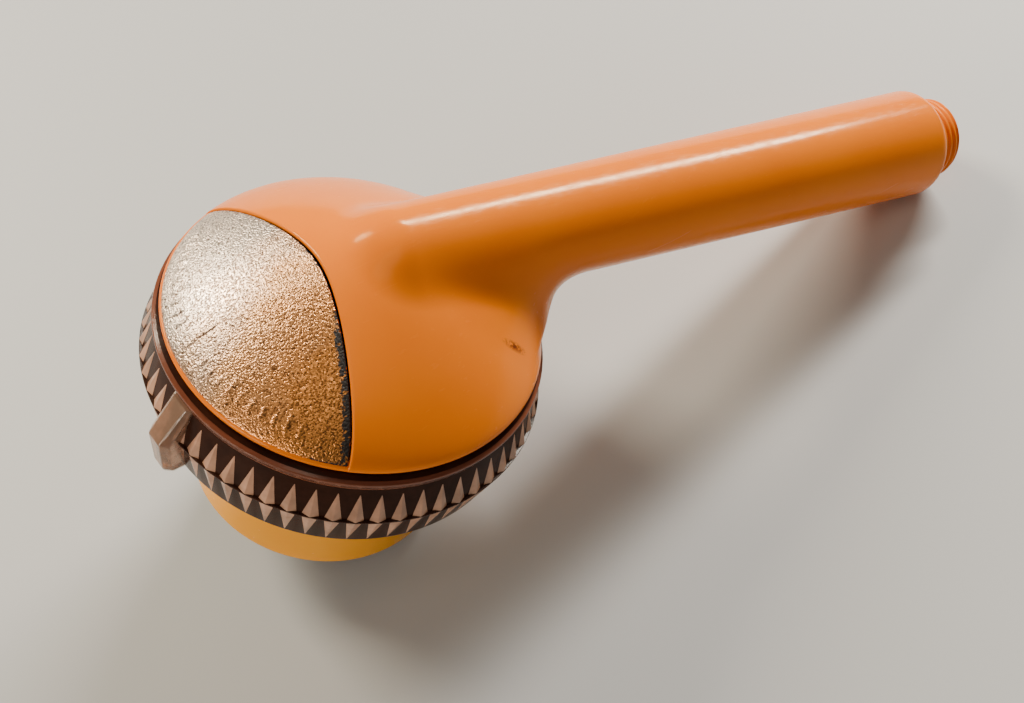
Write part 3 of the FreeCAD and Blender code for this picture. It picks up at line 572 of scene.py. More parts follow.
class Finish(Enum):
    """The finishes of the shower, each with its own recipe."""

    SHELL = GlossyPlastic("orange_shell", (0.90, 0.215, 0.0006, 1.0), (0.84, 0.185, 0.0005, 1.0),
                          scuffed=True)
    CUP = GlossyPlastic("orange_cup", (1.0, 0.42, 0.012, 1.0), (0.97, 0.37, 0.009, 1.0))
    BADGE = MetallisedPlastic("badge_metal")
    RING = SmokyPlastic("smoky_ring", (0.026, 0.009, 0.005, 1.0), 0.0, 0.14, shine=0.3, bend=1.2)
    BEAD = SmokyPlastic("smoky_bead", (0.035, 0.013, 0.008, 1.0), 0.0, 0.2, shine=0.3)
    LIP = SmokyPlastic("smoky_lip", (0.09, 0.028, 0.014, 1.0), 0.2, 0.1, streaks=4.0)
    # Lighter kite faces: frosted moulding, and painted reflection of the surroundings.
    FACET_FROST_AND_SHEEN = SmokyPlastic("smoky_facet_frost_and_sheen", (0.52, 0.28, 0.18, 1.0), 0.3, 0.12)
    POINTER = SmokyPlastic("smoky_pointer", (0.50, 0.31, 0.22, 1.0), 0.6, 0.08)
    INNER = SimpleMoulding("inner_black", (0.012, 0.01, 0.009, 1.0), 0.45)
    FACE = SimpleMoulding("face_grey", (0.035, 0.03, 0.028, 1.0), 0.4)
    INSERT = SimpleMoulding("insert_brown", (0.07, 0.03, 0.018, 1.0), 0.25)
    WHITE = SimpleMoulding("inner_white", (0.55, 0.53, 0.48, 1.0), 0.45)
    STEEL = SimpleMoulding("screw_steel", (0.5, 0.49, 0.47, 1.0), 0.3, metal=1.0, grain=3000.0)
    BRASS = SimpleMoulding("turned_brass", (0.55, 0.36, 0.12, 1.0), 0.3, metal=1.0, grain=3000.0)
    RUBBER = SimpleMoulding("seal_rubber", (0.01, 0.01, 0.01, 1.0), 0.6)


MATERIALS: dict[Finish, bpy.types.Material] = {}


def dress(piece: Piece, *finishes: Finish) -> None:
    """Gives a piece its finishes, in the order of its material slots."""
    piece.data.materials.clear()
    for finish in finishes:
        if finish not in MATERIALS:
            MATERIALS[finish] = finish.value.build()
        piece.data.materials.append(MATERIALS[finish])


def place(piece: Piece, body: str, node: str | None, slot: str) -> None:
    """Rides a piece on its body, in the stead of a node if it has one.

    Args:
        piece: the finished piece.
        body: body that it moves with.
        node: node that it stands for.
        slot: material slot of the record; not used.
    """
    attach(piece, body)
    if node:
        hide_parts(node)
    LOG.info("%s: %d faces on %s", piece.name, len(piece.data.polygons), body)


# ---- dome and handle

@dataclass
class Dome:
    """Shape of the head's cover: a superellipse turned about the head axis."""

    rim: float = 41.9
    level: float = 13.8
    height: float = 22.8
    power: float = 1.31

    def top(self, radius: Array, inset: float = 0.0) -> Array:
        """Level of the dome's surface, moved in by inset, at a distance from the axis."""
        share = np.clip(radius / (self.rim - inset), 0.0, 1.0) ** self.power
        return self.level + (self.height - inset) * (1.0 - share) ** (1.0 / self.power)

    def distance(self, points: Array) -> Array:
        """Rough distance from the dome, below 0 inside.

        The superellipse's value, 1 on the surface, less 1 and divided by its slope.
        """
        radius = np.maximum(np.hypot(points[..., 0], points[..., 1]), 1e-6)
        above = np.maximum(points[..., 2] - self.level, 1e-3)
        power = self.power
        total = (radius / self.rim) ** power + (above / self.height) ** power
        size = total ** (1.0 / power)
        slope = total ** (1.0 / power - 1.0)
        out = slope * radius ** (power - 1.0) / self.rim ** power
        up = slope * above ** (power - 1.0) / self.height ** power
        return (size - 1.0) / np.hypot(out, up)


@dataclass
class Handle:
    """Shape of the handle: a slightly tapered tube along X."""

    level: float = 29.0
    start: float = 6.5
    end: float = 164.1
    start_radius: float = 11.72
    end_radius: float = 14.06
    end_round: float = 2.6
    nose: float = 9.5

    def radius(self, along: Array) -> Array:
        """Radius at a place along the handle."""
        share = (along - self.start) / (self.end - self.start)
        return self.start_radius + (self.end_radius - self.start_radius) * share

    def distance(self, points: Array) -> Array:
        """Rough distance from the tube, below 0 inside, with a rounded nose at its start.

        The nose is the start face moved out as a sphere-edged disc: the distance to a tube
        shrunk by the nose radius, less that radius.
        """
        across = np.hypot(points[..., 1], points[..., 2] - self.level)
        out = across - self.radius(np.maximum(points[..., 0], self.start)) + self.nose
        back = self.start - points[..., 0]
        corner = np.hypot(np.maximum(out, 0.0), np.maximum(back, 0.0))
        return corner + np.minimum(np.maximum(out, back), 0.0) - self.nose


def smooth_union(first: Array, second: Array, reach: Array | float) -> Array:
    """Distance from two blended shapes: the lesser one, rounded where they come within reach."""
    share = np.clip(0.5 + 0.5 * (second - first) / reach, 0.0, 1.0)
    return second + (first - second) * share - reach * share * (1.0 - share)


@dataclass
class Body:
    """The orange moulding: dome and handle run into each other with soft fillets."""

    dome: Dome = field(default_factory=Dome)
    handle: Handle = field(default_factory=Handle)
    setback: float = -19.8
    lean: float = 22.6
    rim_drop: tuple[Pair, ...] = ((0.05, 0.35), (0.25, 0.7), (0.6, 0.95),
                                                 (1.2, 1.1))
    end_hole: tuple[float, ...] = (11.2, 10.8, 10.55)
    reach: Pair = (5.0, 8.4)
    reach_from: Pair = (13.0, 49.0)
    neck_place: float = 32.5
    neck_radius: float = 9.0
    neck_top: float = 20.0
    neck_foot: float = 17.0
    neck_fade: float = 1.3
    neck_reach: float = 20.6
    slices: int = 300
    head_slices: int = 170
    head_bunching: float = 1.4
    tail_bunching: float = 1.15
    tail_gap: float = 0.05
    lean_end: float = 22.0
    lift: float = 6.5
    lift_from: Pair = (8.0, 36.0)
    axis_from: Pair = (41.9, 75.0)
    ray_length: float = 60.0
    halvings: int = 44
    across: int = 150
    wall: float = 1.4

    def depth(self, points: Array) -> Array:
        """Distance from the blended shape: dome and upright neck, then the handle.

        The neck is a post with a round top that thins out below its foot. The handle's reach
        grows towards the back.
        """
        near, far = self.reach
        reach = near + (far - near) * smooth_step(*self.reach_from, points[..., 0])
        level = points[..., 2]
        above = np.maximum(level - self.neck_top, 0.0)
        neck = np.hypot(np.hypot(points[..., 0] - self.neck_place, points[..., 1]), above)
        below = np.maximum(self.neck_foot - level, 0.0)
        neck += self.neck_fade * below ** 2 - self.neck_radius
        head = smooth_union(neck, self.dome.distance(points), self.neck_reach)
        return smooth_union(head, self.handle.distance(points), reach)

    def spine(self) -> tuple[Array, Array, Array]:
        """Places where the slices cross the rim's level, their leans and the ray's starts.

        Returns:
            Base place of each slice, tangent of its lean and level of its ray's start.
        """
        share = 1.0 - (1.0 - np.linspace(0, 1, self.head_slices)) ** self.head_bunching
        head = self.setback + (self.dome.rim - self.setback) * share
        first = self.dome.rim + self.tail_gap
        straight = self.handle.end - self.handle.end_round
        share = np.linspace(0, 1, self.slices - self.head_slices) ** self.tail_bunching
        base = np.concatenate([head, first + (straight - first) * share])
        lean = math.tan(math.radians(self.lean)) * (
            1.0 - smooth_step(self.setback, self.lean_end, base))
        start = self.dome.level + self.lift * smooth_step(*self.lift_from, base)
        start = start + (self.handle.level - start) * smooth_step(*self.axis_from, base)
        return base, lean, start

    def surface(self) -> Array:
        """Outer surface, slice by slice, each from the left rim over the top to the right.

        Each point lies where a ray from the slice's start meets the blended shape, found by
        halving the interval; the ray's angle runs between those of the two rim points. Nothing
        behind the rim reaches below its level.

        Returns:
            Array of slices by points.
        """
        base, lean, start = self.spine()
        rim = self.dome.rim
        half = np.sqrt(np.maximum(rim ** 2 - base ** 2, 0.0))
        limit = np.pi - np.arctan2(half, start - self.dome.level)
        limit = np.where(base > rim, np.pi, limit)
        turn = np.linspace(-1.0, 1.0, self.across)[None, :] * limit[:, None]
        low, high = np.zeros_like(turn), np.full_like(turn, self.ray_length)
        for _ in range(self.halvings):
            middle = 0.5 * (low + high)
            inside = self.depth(self.on_slice(base, lean, start, turn, middle)) < 0.0
            low = np.where(inside, middle, low)
            high = np.where(inside, high, middle)
        points = self.on_slice(base, lean, start, turn, low)
        crossing = base <= rim
        points[~crossing, :, 2] = np.maximum(points[~crossing, :, 2], self.dome.level)
        for column, side in ((0, -half), (-1, half)):
            on_rim = np.stack([base, side, np.full_like(base, self.dome.level)], -1)
            points[crossing, column] = on_rim[crossing]
        return points

    def on_slice(self, base: Array, lean: Array, start: Array, turn: Array, reach: Array
                 ) -> Array:
        """Points at a reach along rays in the slices' planes; turn is counted from the top."""
        level = start[:, None] + reach * np.cos(turn)
        across = reach * np.sin(turn)
        along = base[:, None] + lean[:, None] * (level - self.dome.level)
        return np.stack([along, across, level], -1)

    def build(self) -> Piece:
        """Makes the moulding: surface, rim edge and rounded handle end, with a wall's depth."""
        skin = self.surface()
        base = self.spine()[0]
        edges = []
        for drop_in, drop_down in self.rim_drop:
            shrink = np.where(base <= self.dome.rim, 1.0 - drop_in / self.dome.rim, 1.0)
            down = np.where(base <= self.dome.rim, drop_down, 0.0)
            row = skin[:, (0, -1)].copy()
            row[..., :2] *= shrink[:, None, None]
            row[..., 2] -= down[:, None]
            edges.append(row)
        left = np.stack([row[:, 0] for row in reversed(edges)], 1)
        right = np.stack([row[:, 1] for row in edges], 1)
        points = np.concatenate([left, skin, right], 1)
        points = np.concatenate([points, self.end_rows(points[-1])], 0)
        rows, columns = points.shape[:2]
        piece = make_piece("body_shell_skin", points, grid_faces(rows, columns), merge=0.01)
        add_modifier(piece, "SOLIDIFY", thickness=self.wall * MM, offset=-1.0,
                     use_even_offset=False)
        dress(piece, Finish.SHELL)
        return piece

    def end_rows(self, last: Array) -> Array:
        """Rows that round the handle's end and turn into the hole for the hose stub."""
        middle = np.array((0.0, 0.0, self.handle.level))
        outward = last - middle
        outward[:, 0] = 0.0
        radius = np.linalg.norm(outward, axis=1, keepdims=True)
        outward = outward / radius
        bend = np.radians(np.linspace(0, 90, 8))[1:]
        end, rounding = self.handle.end, self.handle.end_round
        steps = [(end - rounding + rounding * math.sin(a),
                  radius - rounding + rounding * math.cos(a)) for a in bend]
        steps += [(end, inner) for inner in self.end_hole]
        return np.stack([np.stack([np.full(len(last), along),
                                   *(middle + outward * reach).T[1:]], -1)
                         for along, reach in steps])


@dataclass
class BadgeLip:
    """Thin orange edge of the moulding that runs below the badge."""

    dome: Dome = field(default_factory=Dome)
    setback: float = -19.8
    top: float = 14.4
    drop: float = 1.1
    inner: float = 38.9
    count: int = 160

    def build(self) -> Piece:
        """Makes the lip: a closed outline carried round the front of the rim."""
        rim, level = self.dome.rim, self.dome.level
        outer = rim - 0.12
        under = level - self.drop
        outline = np.array([(self.inner, self.top - 0.1), (outer - 0.6, self.top),
                            (outer - 0.25, self.top - 0.12), (outer, level),
                            (rim - 0.25, under + 0.4), (rim - 0.6, under + 0.15),
                            (rim - 1.2, under), (self.inner, under)])
        half = math.degrees(math.acos(-self.setback / rim)) + 1.2
        points = circle_points(outline, self.count, 180.0 - half, 2 * half, closed=False)
        faces = grid_faces(self.count, len(outline), close_columns=True)
        piece = make_piece("body_lip", points, faces, Shading.BY_ANGLE)
        add_bevel(piece, 0.15, 25)
        dress(piece, Finish.SHELL)
        return piece


# ---- badge

@dataclass
class Badge:
    """Metallised insert over the front of the dome, with a raised scale along its rim."""

    dome: Dome = field(default_factory=Dome)
    setback: float = -20.0
    lean: float = 22.6
    foot: float = 14.6
    inset: float = 0.35
    edge_round: float = 0.5
    middle: float = -29.5
    arc_count: int = 620
    back_count: int = 110
    rings: int = 66
    bunching: float = 1.6
    wall: float = 0.9
    halvings: int = 40
    tested_faces: int = 200
    mark_height: float = 0.3
    mark_pitch: float = 4.2
    long_every: int = 5
    bar_flank: Pair = (0.55, 0.2)
    bar_start: Pair = (2.1, 2.45)
    bar_ends: Pair = (4.0, 5.4)
    bar_fade: float = 0.35
    scale_end: Pair = (50.0, 49.0)
    scale_gap: Pair = (4.5, 5.5)
    index_flank: Pair = (0.5, 0.25)
    index_start: Pair = (1.8, 2.2)
    index_end: Pair = (8.3, 8.0)
    # Direction, shift and span of the painted warm reflection over the badge.
    reflection_slope: Pair = (0.6, -1.1)
    reflection_shift: float = 9.0
    reflection_span: Pair = (-34.0, 30.0)

    def foot_radius(self) -> float:
        """Distance from the axis to the dome's surface at the badge's foot."""
        dome = self.dome
        share = ((self.foot - dome.level) / dome.height) ** dome.power
        return dome.rim * (1.0 - share) ** (1.0 / dome.power)

    def plane(self, level: Array | float) -> Array | float:
        """Place along X of the leaning plane behind the badge, at a level."""
        return self.setback + math.tan(math.radians(self.lean)) * (level - self.dome.level)

    def back_edge(self, across: Array) -> Array:
        """Where the leaning plane meets the dome, found by halving, for distances from Y 0."""
        low, high = np.full_like(across, self.setback), np.zeros_like(across)
        for _ in range(self.halvings):
            along = 0.5 * (low + high)
            plane = self.plane(self.dome.top(np.hypot(along, across)))
            low = np.where(along < plane, along, low)
            high = np.where(along < plane, high, along)
        return low

    def border(self) -> Array:
        """Closed border in plan: round the front on the foot's circle, back along the plane."""
        radius = self.foot_radius()
        half = math.acos(-self.plane(self.foot) / radius)
        turn = math.pi + np.linspace(-half, half, self.arc_count)
        front = radius * np.stack([np.cos(turn), np.sin(turn)], -1)
        end = front[-1, 1]
        across = np.linspace(end, -end, self.back_count + 2)[1:-1]
        back = np.stack([self.back_edge(across), across], -1)
        return np.concatenate([front, back])

    def marks(self, plan: Array) -> Array:
        """Raised scale: radial bars, every fifth one longer, and one index line in front."""
        radius = np.hypot(plan[..., 0], plan[..., 1])
        bearing = np.degrees(np.arctan2(plan[..., 1], -plan[..., 0]))
        number = np.round(bearing / self.mark_pitch)
        aside = np.abs(bearing / self.mark_pitch - number) * self.mark_pitch
        aside = np.radians(aside) * radius
        depth = self.foot_radius() - radius
        end = np.where(np.mod(number, self.long_every) == 0, self.bar_ends[1], self.bar_ends[0])
        bar = (smooth_step(*self.bar_flank, aside) * smooth_step(*self.bar_start, depth)
               * smooth_step(end + self.bar_fade, end, depth))
        bearing = np.abs(bearing)
        band = smooth_step(*self.scale_end, bearing) * smooth_step(*self.scale_gap, bearing)
        index = (smooth_step(*self.index_flank, np.radians(bearing) * radius)
                 * smooth_step(*self.index_start, depth) * smooth_step(*self.index_end, depth))
        return self.mark_height * np.maximum(bar * band, index)

    def warm_reflection(self, plan: Array) -> Array:
        """How strongly the painted warm reflection turns the coat coppery: 0 on the far front,
        rising to 1 at the near back corner.
        """
        along, across = self.reflection_slope
        place_on = along * plan[..., 0] + across * plan[..., 1] + self.reflection_shift
        return smooth_step(*self.reflection_span, place_on)

    def wear_and_gap_shade(self, plan: Array) -> Array:
        """How dark the coat turns: rubbed away in a strip along one half of the back edge and near
        one end of the foot, with a thin painted shade line in the gap along the whole back edge.

        The value is a half where the strip ends, and rises by a half in the next millimetre.
        """
        radius = np.hypot(plan[..., 0], plan[..., 1])
        to_back = (self.plane(self.dome.top(radius)) - plan[..., 0]) * 0.8
        to_foot = (self.foot_radius() - radius) * 1.1
        across = plan[..., 1]
        # The 0.2 along the whole back edge is the thin painted shade line in the gap; the rise on
        # one half is wear.
        strip = 0.2 + 0.95 * smooth_step(-10.0, -16.0, across)
        foot_strip = -0.5 + 1.0 * smooth_step(-26.0, -35.0, across)
        return np.clip(0.5 + 0.5 * np.maximum(strip - to_back, foot_strip - to_foot), 0.0, 1.0)

    def build(self) -> Piece:
        """Makes the insert: rings that shrink from the border to the middle."""
        border = self.border()
        share = 1.0 - np.linspace(0.0, 1.0, self.rings) ** self.bunching
        centre = np.array((self.middle, 0.0))
        plan = centre + share[:, None, None] * (border - centre)
        gap = (1.0 - share)[:, None] * np.linalg.norm(border - centre, axis=1)
        radius = np.hypot(plan[..., 0], plan[..., 1])
        level = self.dome.top(radius, self.inset)
        edge = np.clip(1.0 - gap / self.edge_round, 0.0, 1.0)
        level = level - self.edge_round * (1.0 - np.sqrt(1.0 - edge ** 2)) + self.marks(plan)
        points = np.concatenate([plan, level[..., None]], -1)
        faces = grid_faces(self.rings, len(border), close_columns=True)
        # Each point stores its wear with the painted gap shade, and its share of painted warm
        # reflection.
        piece = make_piece("badge_skin", points, faces, merge=0.004,
                           attributes={"wear_and_gap_shade": self.wear_and_gap_shade(plan), "warm_reflection": self.warm_reflection(plan)})
        if sum(p.normal.z for p in piece.data.polygons[:self.tested_faces]) < 0:
            piece.data.flip_normals()
        add_modifier(piece, "SOLIDIFY", thickness=self.wall * MM, offset=-1.0)
        dress(piece, Finish.BADGE)
        return piece


# ---- selector ring

@dataclass
class SelectorRing:
    """Smoky ring: two cones that meet at the ridge, with kite-shaped facets."""

    teeth: int = 60
    fill: float = 0.76
    top: Pair = (42.3, 8.6)
    ridge: float = 44.6
    foot: Pair = (42.0, -10.9)
    parting: float = 0.22
    pointer_bearing: float = 190.0
    lip_bands: int = 4
    tip: Pair = (42.68, 7.2)
    crease: float = 24.0
    edge_rise: float = -0.25
    crest_rise: float = 0.46
    inside: tuple[Pair, ...] = (
        (42.62, 8.8), (43.15, 10.5), (43.05, 10.95), (42.25, 11.3), (41.3, 11.72), (40.8, 11.8),
        (38.7, 11.8), (38.5, 11.6), (38.5, 1.0), (35.5, 1.0), (35.5, -2.0), (38.5, -2.0),
        (38.5, -8.9), (31.3, -8.9), (31.3, -11.4), (41.6, -11.4))

    def cells(self) -> tuple[Array, Array, Array]:
        """Outer faces of every tooth, made from one cell repeated round the ring.

        Returns:
            Points, faces of three or four point numbers padded with -1, and slot numbers.
        """
        pitch = 360.0 / self.teeth
        half = pitch * self.fill / 2.0
        edge = self.ridge + self.edge_rise
        crest = self.ridge + self.crest_rise
        low, high = -self.parting, self.parting
        columns = (
            (-pitch / 2, *self.top), (0.0, *self.top), (pitch / 2, *self.top),
            (-pitch / 2, edge, high), (-half, edge, high), (0.0, crest, high),
            (half, edge, high), (pitch / 2, edge, high),
            (-pitch / 2, edge, low), (-half, edge, low), (0.0, crest, low),
            (half, edge, low), (pitch / 2, edge, low),
            (-pitch / 2, *self.foot), (0.0, *self.foot), (pitch / 2, *self.foot),
            (0.0, *self.tip))
        cell_faces = ((0, 3, 4, 16), (0, 16, 1, -1), (16, 6, 7, 2), (1, 16, 2, -1),
                      (16, 4, 5, -1), (16, 5, 6, -1),
                      (3, 8, 9, 4), (4, 9, 10, 5), (5, 10, 11, 6), (6, 11, 12, 7),
                      (8, 13, 14, 9), (11, 14, 15, 12), (9, 14, 10, -1), (10, 14, 11, -1))
        # Slot 1 marks the kite faces, which get the lighter finish: frosted moulding and painted
        # reflection.
        slots = (0, 0, 0, 0, 1, 1, 0, 0, 0, 0, 0, 0, 1, 1)
        cell = np.array(columns)
        number = np.arange(self.teeth)
        bearing = np.radians(self.pointer_bearing + pitch * (number[:, None] + 0.5)
                             + cell[None, :, 0])
        points = np.stack([cell[:, 1] * np.cos(bearing), cell[:, 1] * np.sin(bearing),
                           np.broadcast_to(cell[:, 2], bearing.shape)], -1).reshape(-1, 3)
        shape = np.array(cell_faces)
        faces = np.where(shape[None] < 0, -1, shape[None] + len(cell) * number[:, None, None])
        return points, faces.reshape(-1, 4), np.tile(slots, self.teeth)

    def build(self) -> Piece:
        """Makes the ring as one closed shell: the cells outside, a turned outline inside."""
        points, faces, slots = self.cells()
        profile = np.array([self.top, *self.inside, self.foot])
        count = 2 * self.teeth
        inner = circle_points(profile, count, self.pointer_bearing)
        inner_faces = grid_faces(count, len(profile), close_rows=True) + len(points)
        every = [tuple(int(n) for n in face if n >= 0) for face in faces.tolist()]
        every += [tuple(face) for face in inner_faces.tolist()]
        # The outer lip bands get the lip finish; the crown inwards of them keeps the dark ring
        # finish as painted shade in the gap under the body's edge.
        bands = np.zeros((count, len(profile) - 1), int)
        bands[:, :self.lip_bands] = 2
        bands[:, -1] = 1
        bands = bands.ravel()
        piece = make_piece("faceted_ring", np.concatenate([points, inner.reshape(-1, 3)]),
                           every, Shading.FLAT, merge=0.003)
        mesh = piece.data
        dress(piece, Finish.RING, Finish.FACET_FROST_AND_SHEEN, Finish.LIP)
        mesh.polygons.foreach_set("material_index", np.concatenate([slots, bands]))
        smooth = np.concatenate([np.zeros(len(slots), bool), np.ones(len(bands), bool)])
        mesh.polygons.foreach_set("use_smooth", smooth)
        mesh.set_sharp_from_angle(angle=math.radians(self.crease))
        add_bevel(piece, 0.13, 9)
        return piece


@dataclass
class RidgeBead:
    """Thin dark bead that runs round the ring's ridge, over facets and lands alike."""

    root: float = 43.6
    crest: float = 45.06
    half: float = 0.2
    corner: float = 0.1
    count: int = 240

    def build(self) -> Piece:
        """Makes the bead by turning its outline about the head axis."""
        flank = self.half - self.corner
        outline = np.array([(self.root, -self.half), (self.crest - self.corner, -self.half),
                            (self.crest, -flank), (self.crest, flank),
                            (self.crest - self.corner, self.half), (self.root, self.half)])
        piece = turned_piece("ridge_bead", outline, self.count)
        dress(piece, Finish.BEAD)
        return piece


@dataclass
class Pointer:
    """Tab on the ring with a flat outer face and bevelled sides."""

    bearing: float = 190.0
    root: float = 41.9
    levels: tuple[Pair, ...] = ((9.0, 43.4), (0.0, 48.7), (-9.6, 46.9),
                                               (-11.4, 46.2))
    wide: tuple[float, ...] = (6.4, 6.8, 6.2, 4.6)
    face_wide: tuple[float, ...] = (4.4, 4.0, 3.4, 2.2)

    def build(self) -> Piece:
        """Makes the tab: one outline in plan at each level, with closed ends."""
        rows = []
        for (level, out), wide, face in zip(self.levels, self.wide, self.face_wide):
            bevel = min(1.6, 0.6 * (out - self.root))
            plan = [(self.root, -wide / 2), (out - bevel, -wide / 2), (out, -face / 2),
                    (out, face / 2), (out - bevel, wide / 2), (self.root, wide / 2)]
            rows.append([(x, y, level) for x, y in plan])
        points = np.array(rows)
        count = points.shape[1]
        faces = grid_faces(len(rows), count, close_columns=True).tolist()
        faces.append(list(range(count))[::-1])
        faces.append(list(range((len(rows) - 1) * count, len(rows) * count)))
        turn = math.radians(self.bearing)
        spin = np.array(((math.cos(turn), math.sin(turn), 0.0),
                         (-math.sin(turn), math.cos(turn), 0.0), (0.0, 0.0, 1.0)))
        piece = make_piece("ring_pointer", points @ spin, faces, Shading.FLAT)
        add_bevel(piece, 0.22, 10)
        dress(piece, Finish.POINTER)
        return piece


# ---- cup and hose stub

@dataclass
class SprayCup:
    """Cup below the ring, open at the foot round the spray face."""

    outline: tuple[Pair, ...] = (
        (28.0, -33.0), (28.0, -1.1), (30.1, -1.1), (30.6, -39.65), (28.4, -39.65), (28.4, -36.4),
        (26.1, -36.4), (26.1, -34.1))
    softness: float = 1.3
    count: int = 220

    def build(self) -> Piece:
        """Makes the cup by turning its softened outline about the head axis."""
        outline = rounded(self.outline, self.softness)
        piece = turned_piece("cup_skin", outline, self.count, merge=0.001)
        dress(piece, Finish.CUP)
        return piece


@dataclass
class HoseStub:
    """Stub with an outer pipe thread, bored for the water."""

    start: float = 164.0
    end: float = 172.6
    level: float = 29.0
    crest: float = 10.48
    groove: float = 0.5
    pitch: float = 1.814
    flank: Pair = (0.25, 0.95)
    run_in: Pair = (0.3, 1.4)
    thread_gap: float = 0.9
    bore: float = 7.0
    bore_start: float = 162.7
    count: int = 160
    rows: int = 66

    def build(self) -> Piece:
        """Makes the stub: the radius falls in a helical groove, then the end turns inwards."""
        turn = np.linspace(0.0, 2.0 * np.pi, self.count, endpoint=False)
        along = np.linspace(self.start, self.end - self.thread_gap, self.rows)
        phase = along[:, None] / self.pitch - turn[None, :] / (2.0 * np.pi)
        wave = np.abs(2.0 * (phase - np.floor(phase)) - 1.0)
        cut = self.groove * smooth_step(*self.flank, wave)
        cut *= smooth_step(self.start + self.run_in[0], self.start + self.run_in[1],
                           along)[:, None]
        radius = self.crest - cut
        lead = [(self.end - 0.35, self.crest - 0.75), (self.end, self.crest - 1.3),
                (self.end, self.bore + 0.5), (self.end - 0.4, self.bore),
                (self.bore_start, self.bore)]
        radius = np.concatenate([np.full((1, self.count), self.bore), radius,
                                 *[np.full((1, self.count), r) for _, r in lead]])
        place_x = np.concatenate([[self.start], along, [x for x, _ in lead]])
        points = np.stack([np.broadcast_to(place_x[:, None], radius.shape),
                           radius * np.cos(turn), self.level + radius * np.sin(turn)], -1)
        faces = grid_faces(len(place_x), self.count, close_columns=True, close_rows=True)
        piece = make_piece("hose_stub", points, faces, Shading.BY_ANGLE)
        dress(piece, Finish.SHELL)
        return piece


# ---- inner pieces

INNER_PIECES: dict[Finish, tuple[str, ...]] = {
    Finish.INNER: ("valve_housing", "selector_disc", "spray_chassis", "swirl_plate"),
    Finish.FACE: ("spray_plate",),
    Finish.INSERT: ("massage_insert",),
    Finish.WHITE: ("turbine", "water_tube"),
    Finish.STEEL: ("inlet_strainer", "housing_screws", "ring_screws", "centre_screw",
                   "detent_ball", "detent_spring"),
    Finish.BRASS: ("turbine_sleeve",),
    Finish.RUBBER: ("tube_front_seal", "tube_rear_seal", "port_seals", "post_seal", "cup_seal"),
    Finish.CUP: ("screw_cap",),
}


def dress_inner_pieces() -> None:
    """Gives each piece that keeps its engineering shape its own finish."""
    for finish, names in INNER_PIECES.items():
        for name in names:
            dress(frame["nodes"][name], finish)
            LOG.info("%s: %s", name, finish.value.name)


# ---- studio

@dataclass(frozen=True)
class SoftLight:
    """Soft rectangular light: metres, watts, and a roll about its own axis in degrees."""

    name: str
    direction: Triple
    distance: float
    power: float
    size: Pair
    colour: Triple
    roll: float = 0.0

    def build(self, target: Vector) -> None:
        """Adds the light in its direction from the target, facing it."""
        data = bpy.data.lights.new(self.name, "AREA")
        data.shape = "RECTANGLE"
        data.size, data.size_y = self.size
        data.energy = self.power
        data.color = self.colour
        light = add_object(self.name, data)
        aim = Vector(self.direction).normalized()
        light.location = target + aim * self.distance
        spin = Quaternion((0.0, 0.0, 1.0), math.radians(self.roll))
        light.rotation_euler = ((-aim).to_track_quat("-Z", "Y") @ spin).to_euler()


LIGHTS = (
    SoftLight("window", (0.735, 0.47, 0.50), 1.3, 31.0, (0.75, 0.15), (1.0, 0.94, 0.82), 38.0),
    SoftLight("far_soft", (-0.31, 0.73, 0.61), 1.2, 17.0, (0.4, 0.4), (1.0, 0.88, 0.66)),
    SoftLight("low_soft", (-0.93, -0.25, 0.25), 1.2, 7.5, (0.6, 0.3), (1.0, 0.86, 0.68)),
    SoftLight("top_soft", (-0.05, -0.27, 0.96), 1.2, 1.6, (0.6, 0.45), (1.0, 0.86, 0.66)),
)


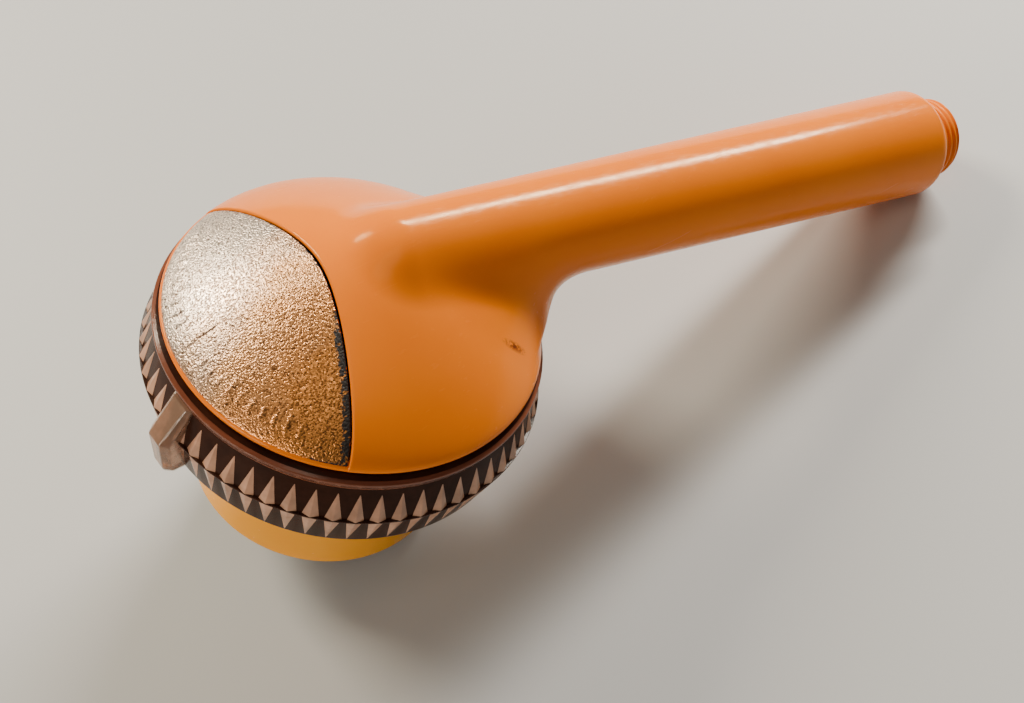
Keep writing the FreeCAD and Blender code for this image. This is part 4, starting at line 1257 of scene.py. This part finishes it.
@dataclass
class Studio:
    """Pale floor, soft lights and the camera."""

    floor_size: float = 6.0
    camera_place: Triple = (-0.08587, -0.16091, 0.30809)
    camera_turn: Triple = (29.917, 4.720, -29.153)
    lens: float = 47.461
    sensor: float = 36.0
    near: float = 0.01
    target: Triple = (-0.02, 0.0, 0.04)
    surround: Colour = (0.88, 0.85, 0.80, 1.0)
    surround_strength: float = 0.09
    floor_colour: Colour = (0.52, 0.53, 0.55, 1.0)
    floor_roughness: float = 0.55

    def build(self) -> None:
        """Sets up the floor, the lights, the surroundings and the camera."""
        self.make_floor()
        for light in LIGHTS:
            light.build(Vector(self.target))
        world = bpy.data.worlds.new("studio")
        world.use_nodes = True
        background = world.node_tree.nodes["Background"]
        background.inputs["Color"].default_value = self.surround
        background.inputs["Strength"].default_value = self.surround_strength
        bpy.context.scene.world = world
        camera = add_object("camera", bpy.data.cameras.new("camera"))
        camera.location = self.camera_place
        camera.rotation_euler = [math.radians(a) for a in self.camera_turn]
        camera.data.lens = self.lens
        camera.data.sensor_width = self.sensor
        camera.data.clip_start = self.near
        bpy.context.scene.camera = camera

    def make_floor(self) -> None:
        """Makes the floor: one large flat square under the shower."""
        half = self.floor_size / 2
        mesh = bpy.data.meshes.new("floor")
        mesh.from_pydata([(-half, -half, 0.0), (half, -half, 0.0), (half, half, 0.0),
                          (-half, half, 0.0)], [], [(0, 1, 2, 3)])
        floor = add_object("floor", mesh)
        nodes = Nodes("pale_floor")
        nodes.value("Base Color", self.floor_colour)
        nodes.value("Roughness", self.floor_roughness)
        mesh.materials.append(nodes.material)


def main() -> None:
    """Builds the studio and every piece, and reports each one."""
    Studio().build()
    body = Body()
    place(body.build(), "shower_head", "body_shell", "orange_shell")
    place(BadgeLip().build(), "shower_head", "body_shell", "orange_shell")
    place(Badge().build(), "shower_head", "badge_plate", "badge_metallised")
    place(SelectorRing().build(), "ring", "selector_ring", "smoky_ring")
    place(RidgeBead().build(), "ring", None, "smoky_ring")
    place(Pointer().build(), "ring", None, "smoky_ring")
    place(SprayCup().build(), "shower_head", "spray_cup", "orange_cup")
    place(HoseStub().build(), "shower_head", "hose_nipple", "orange_shell")
    dress_inner_pieces()


if __name__ == "__main__":
    logging.basicConfig(level=logging.INFO, format="%(name)s: %(message)s")
    main()
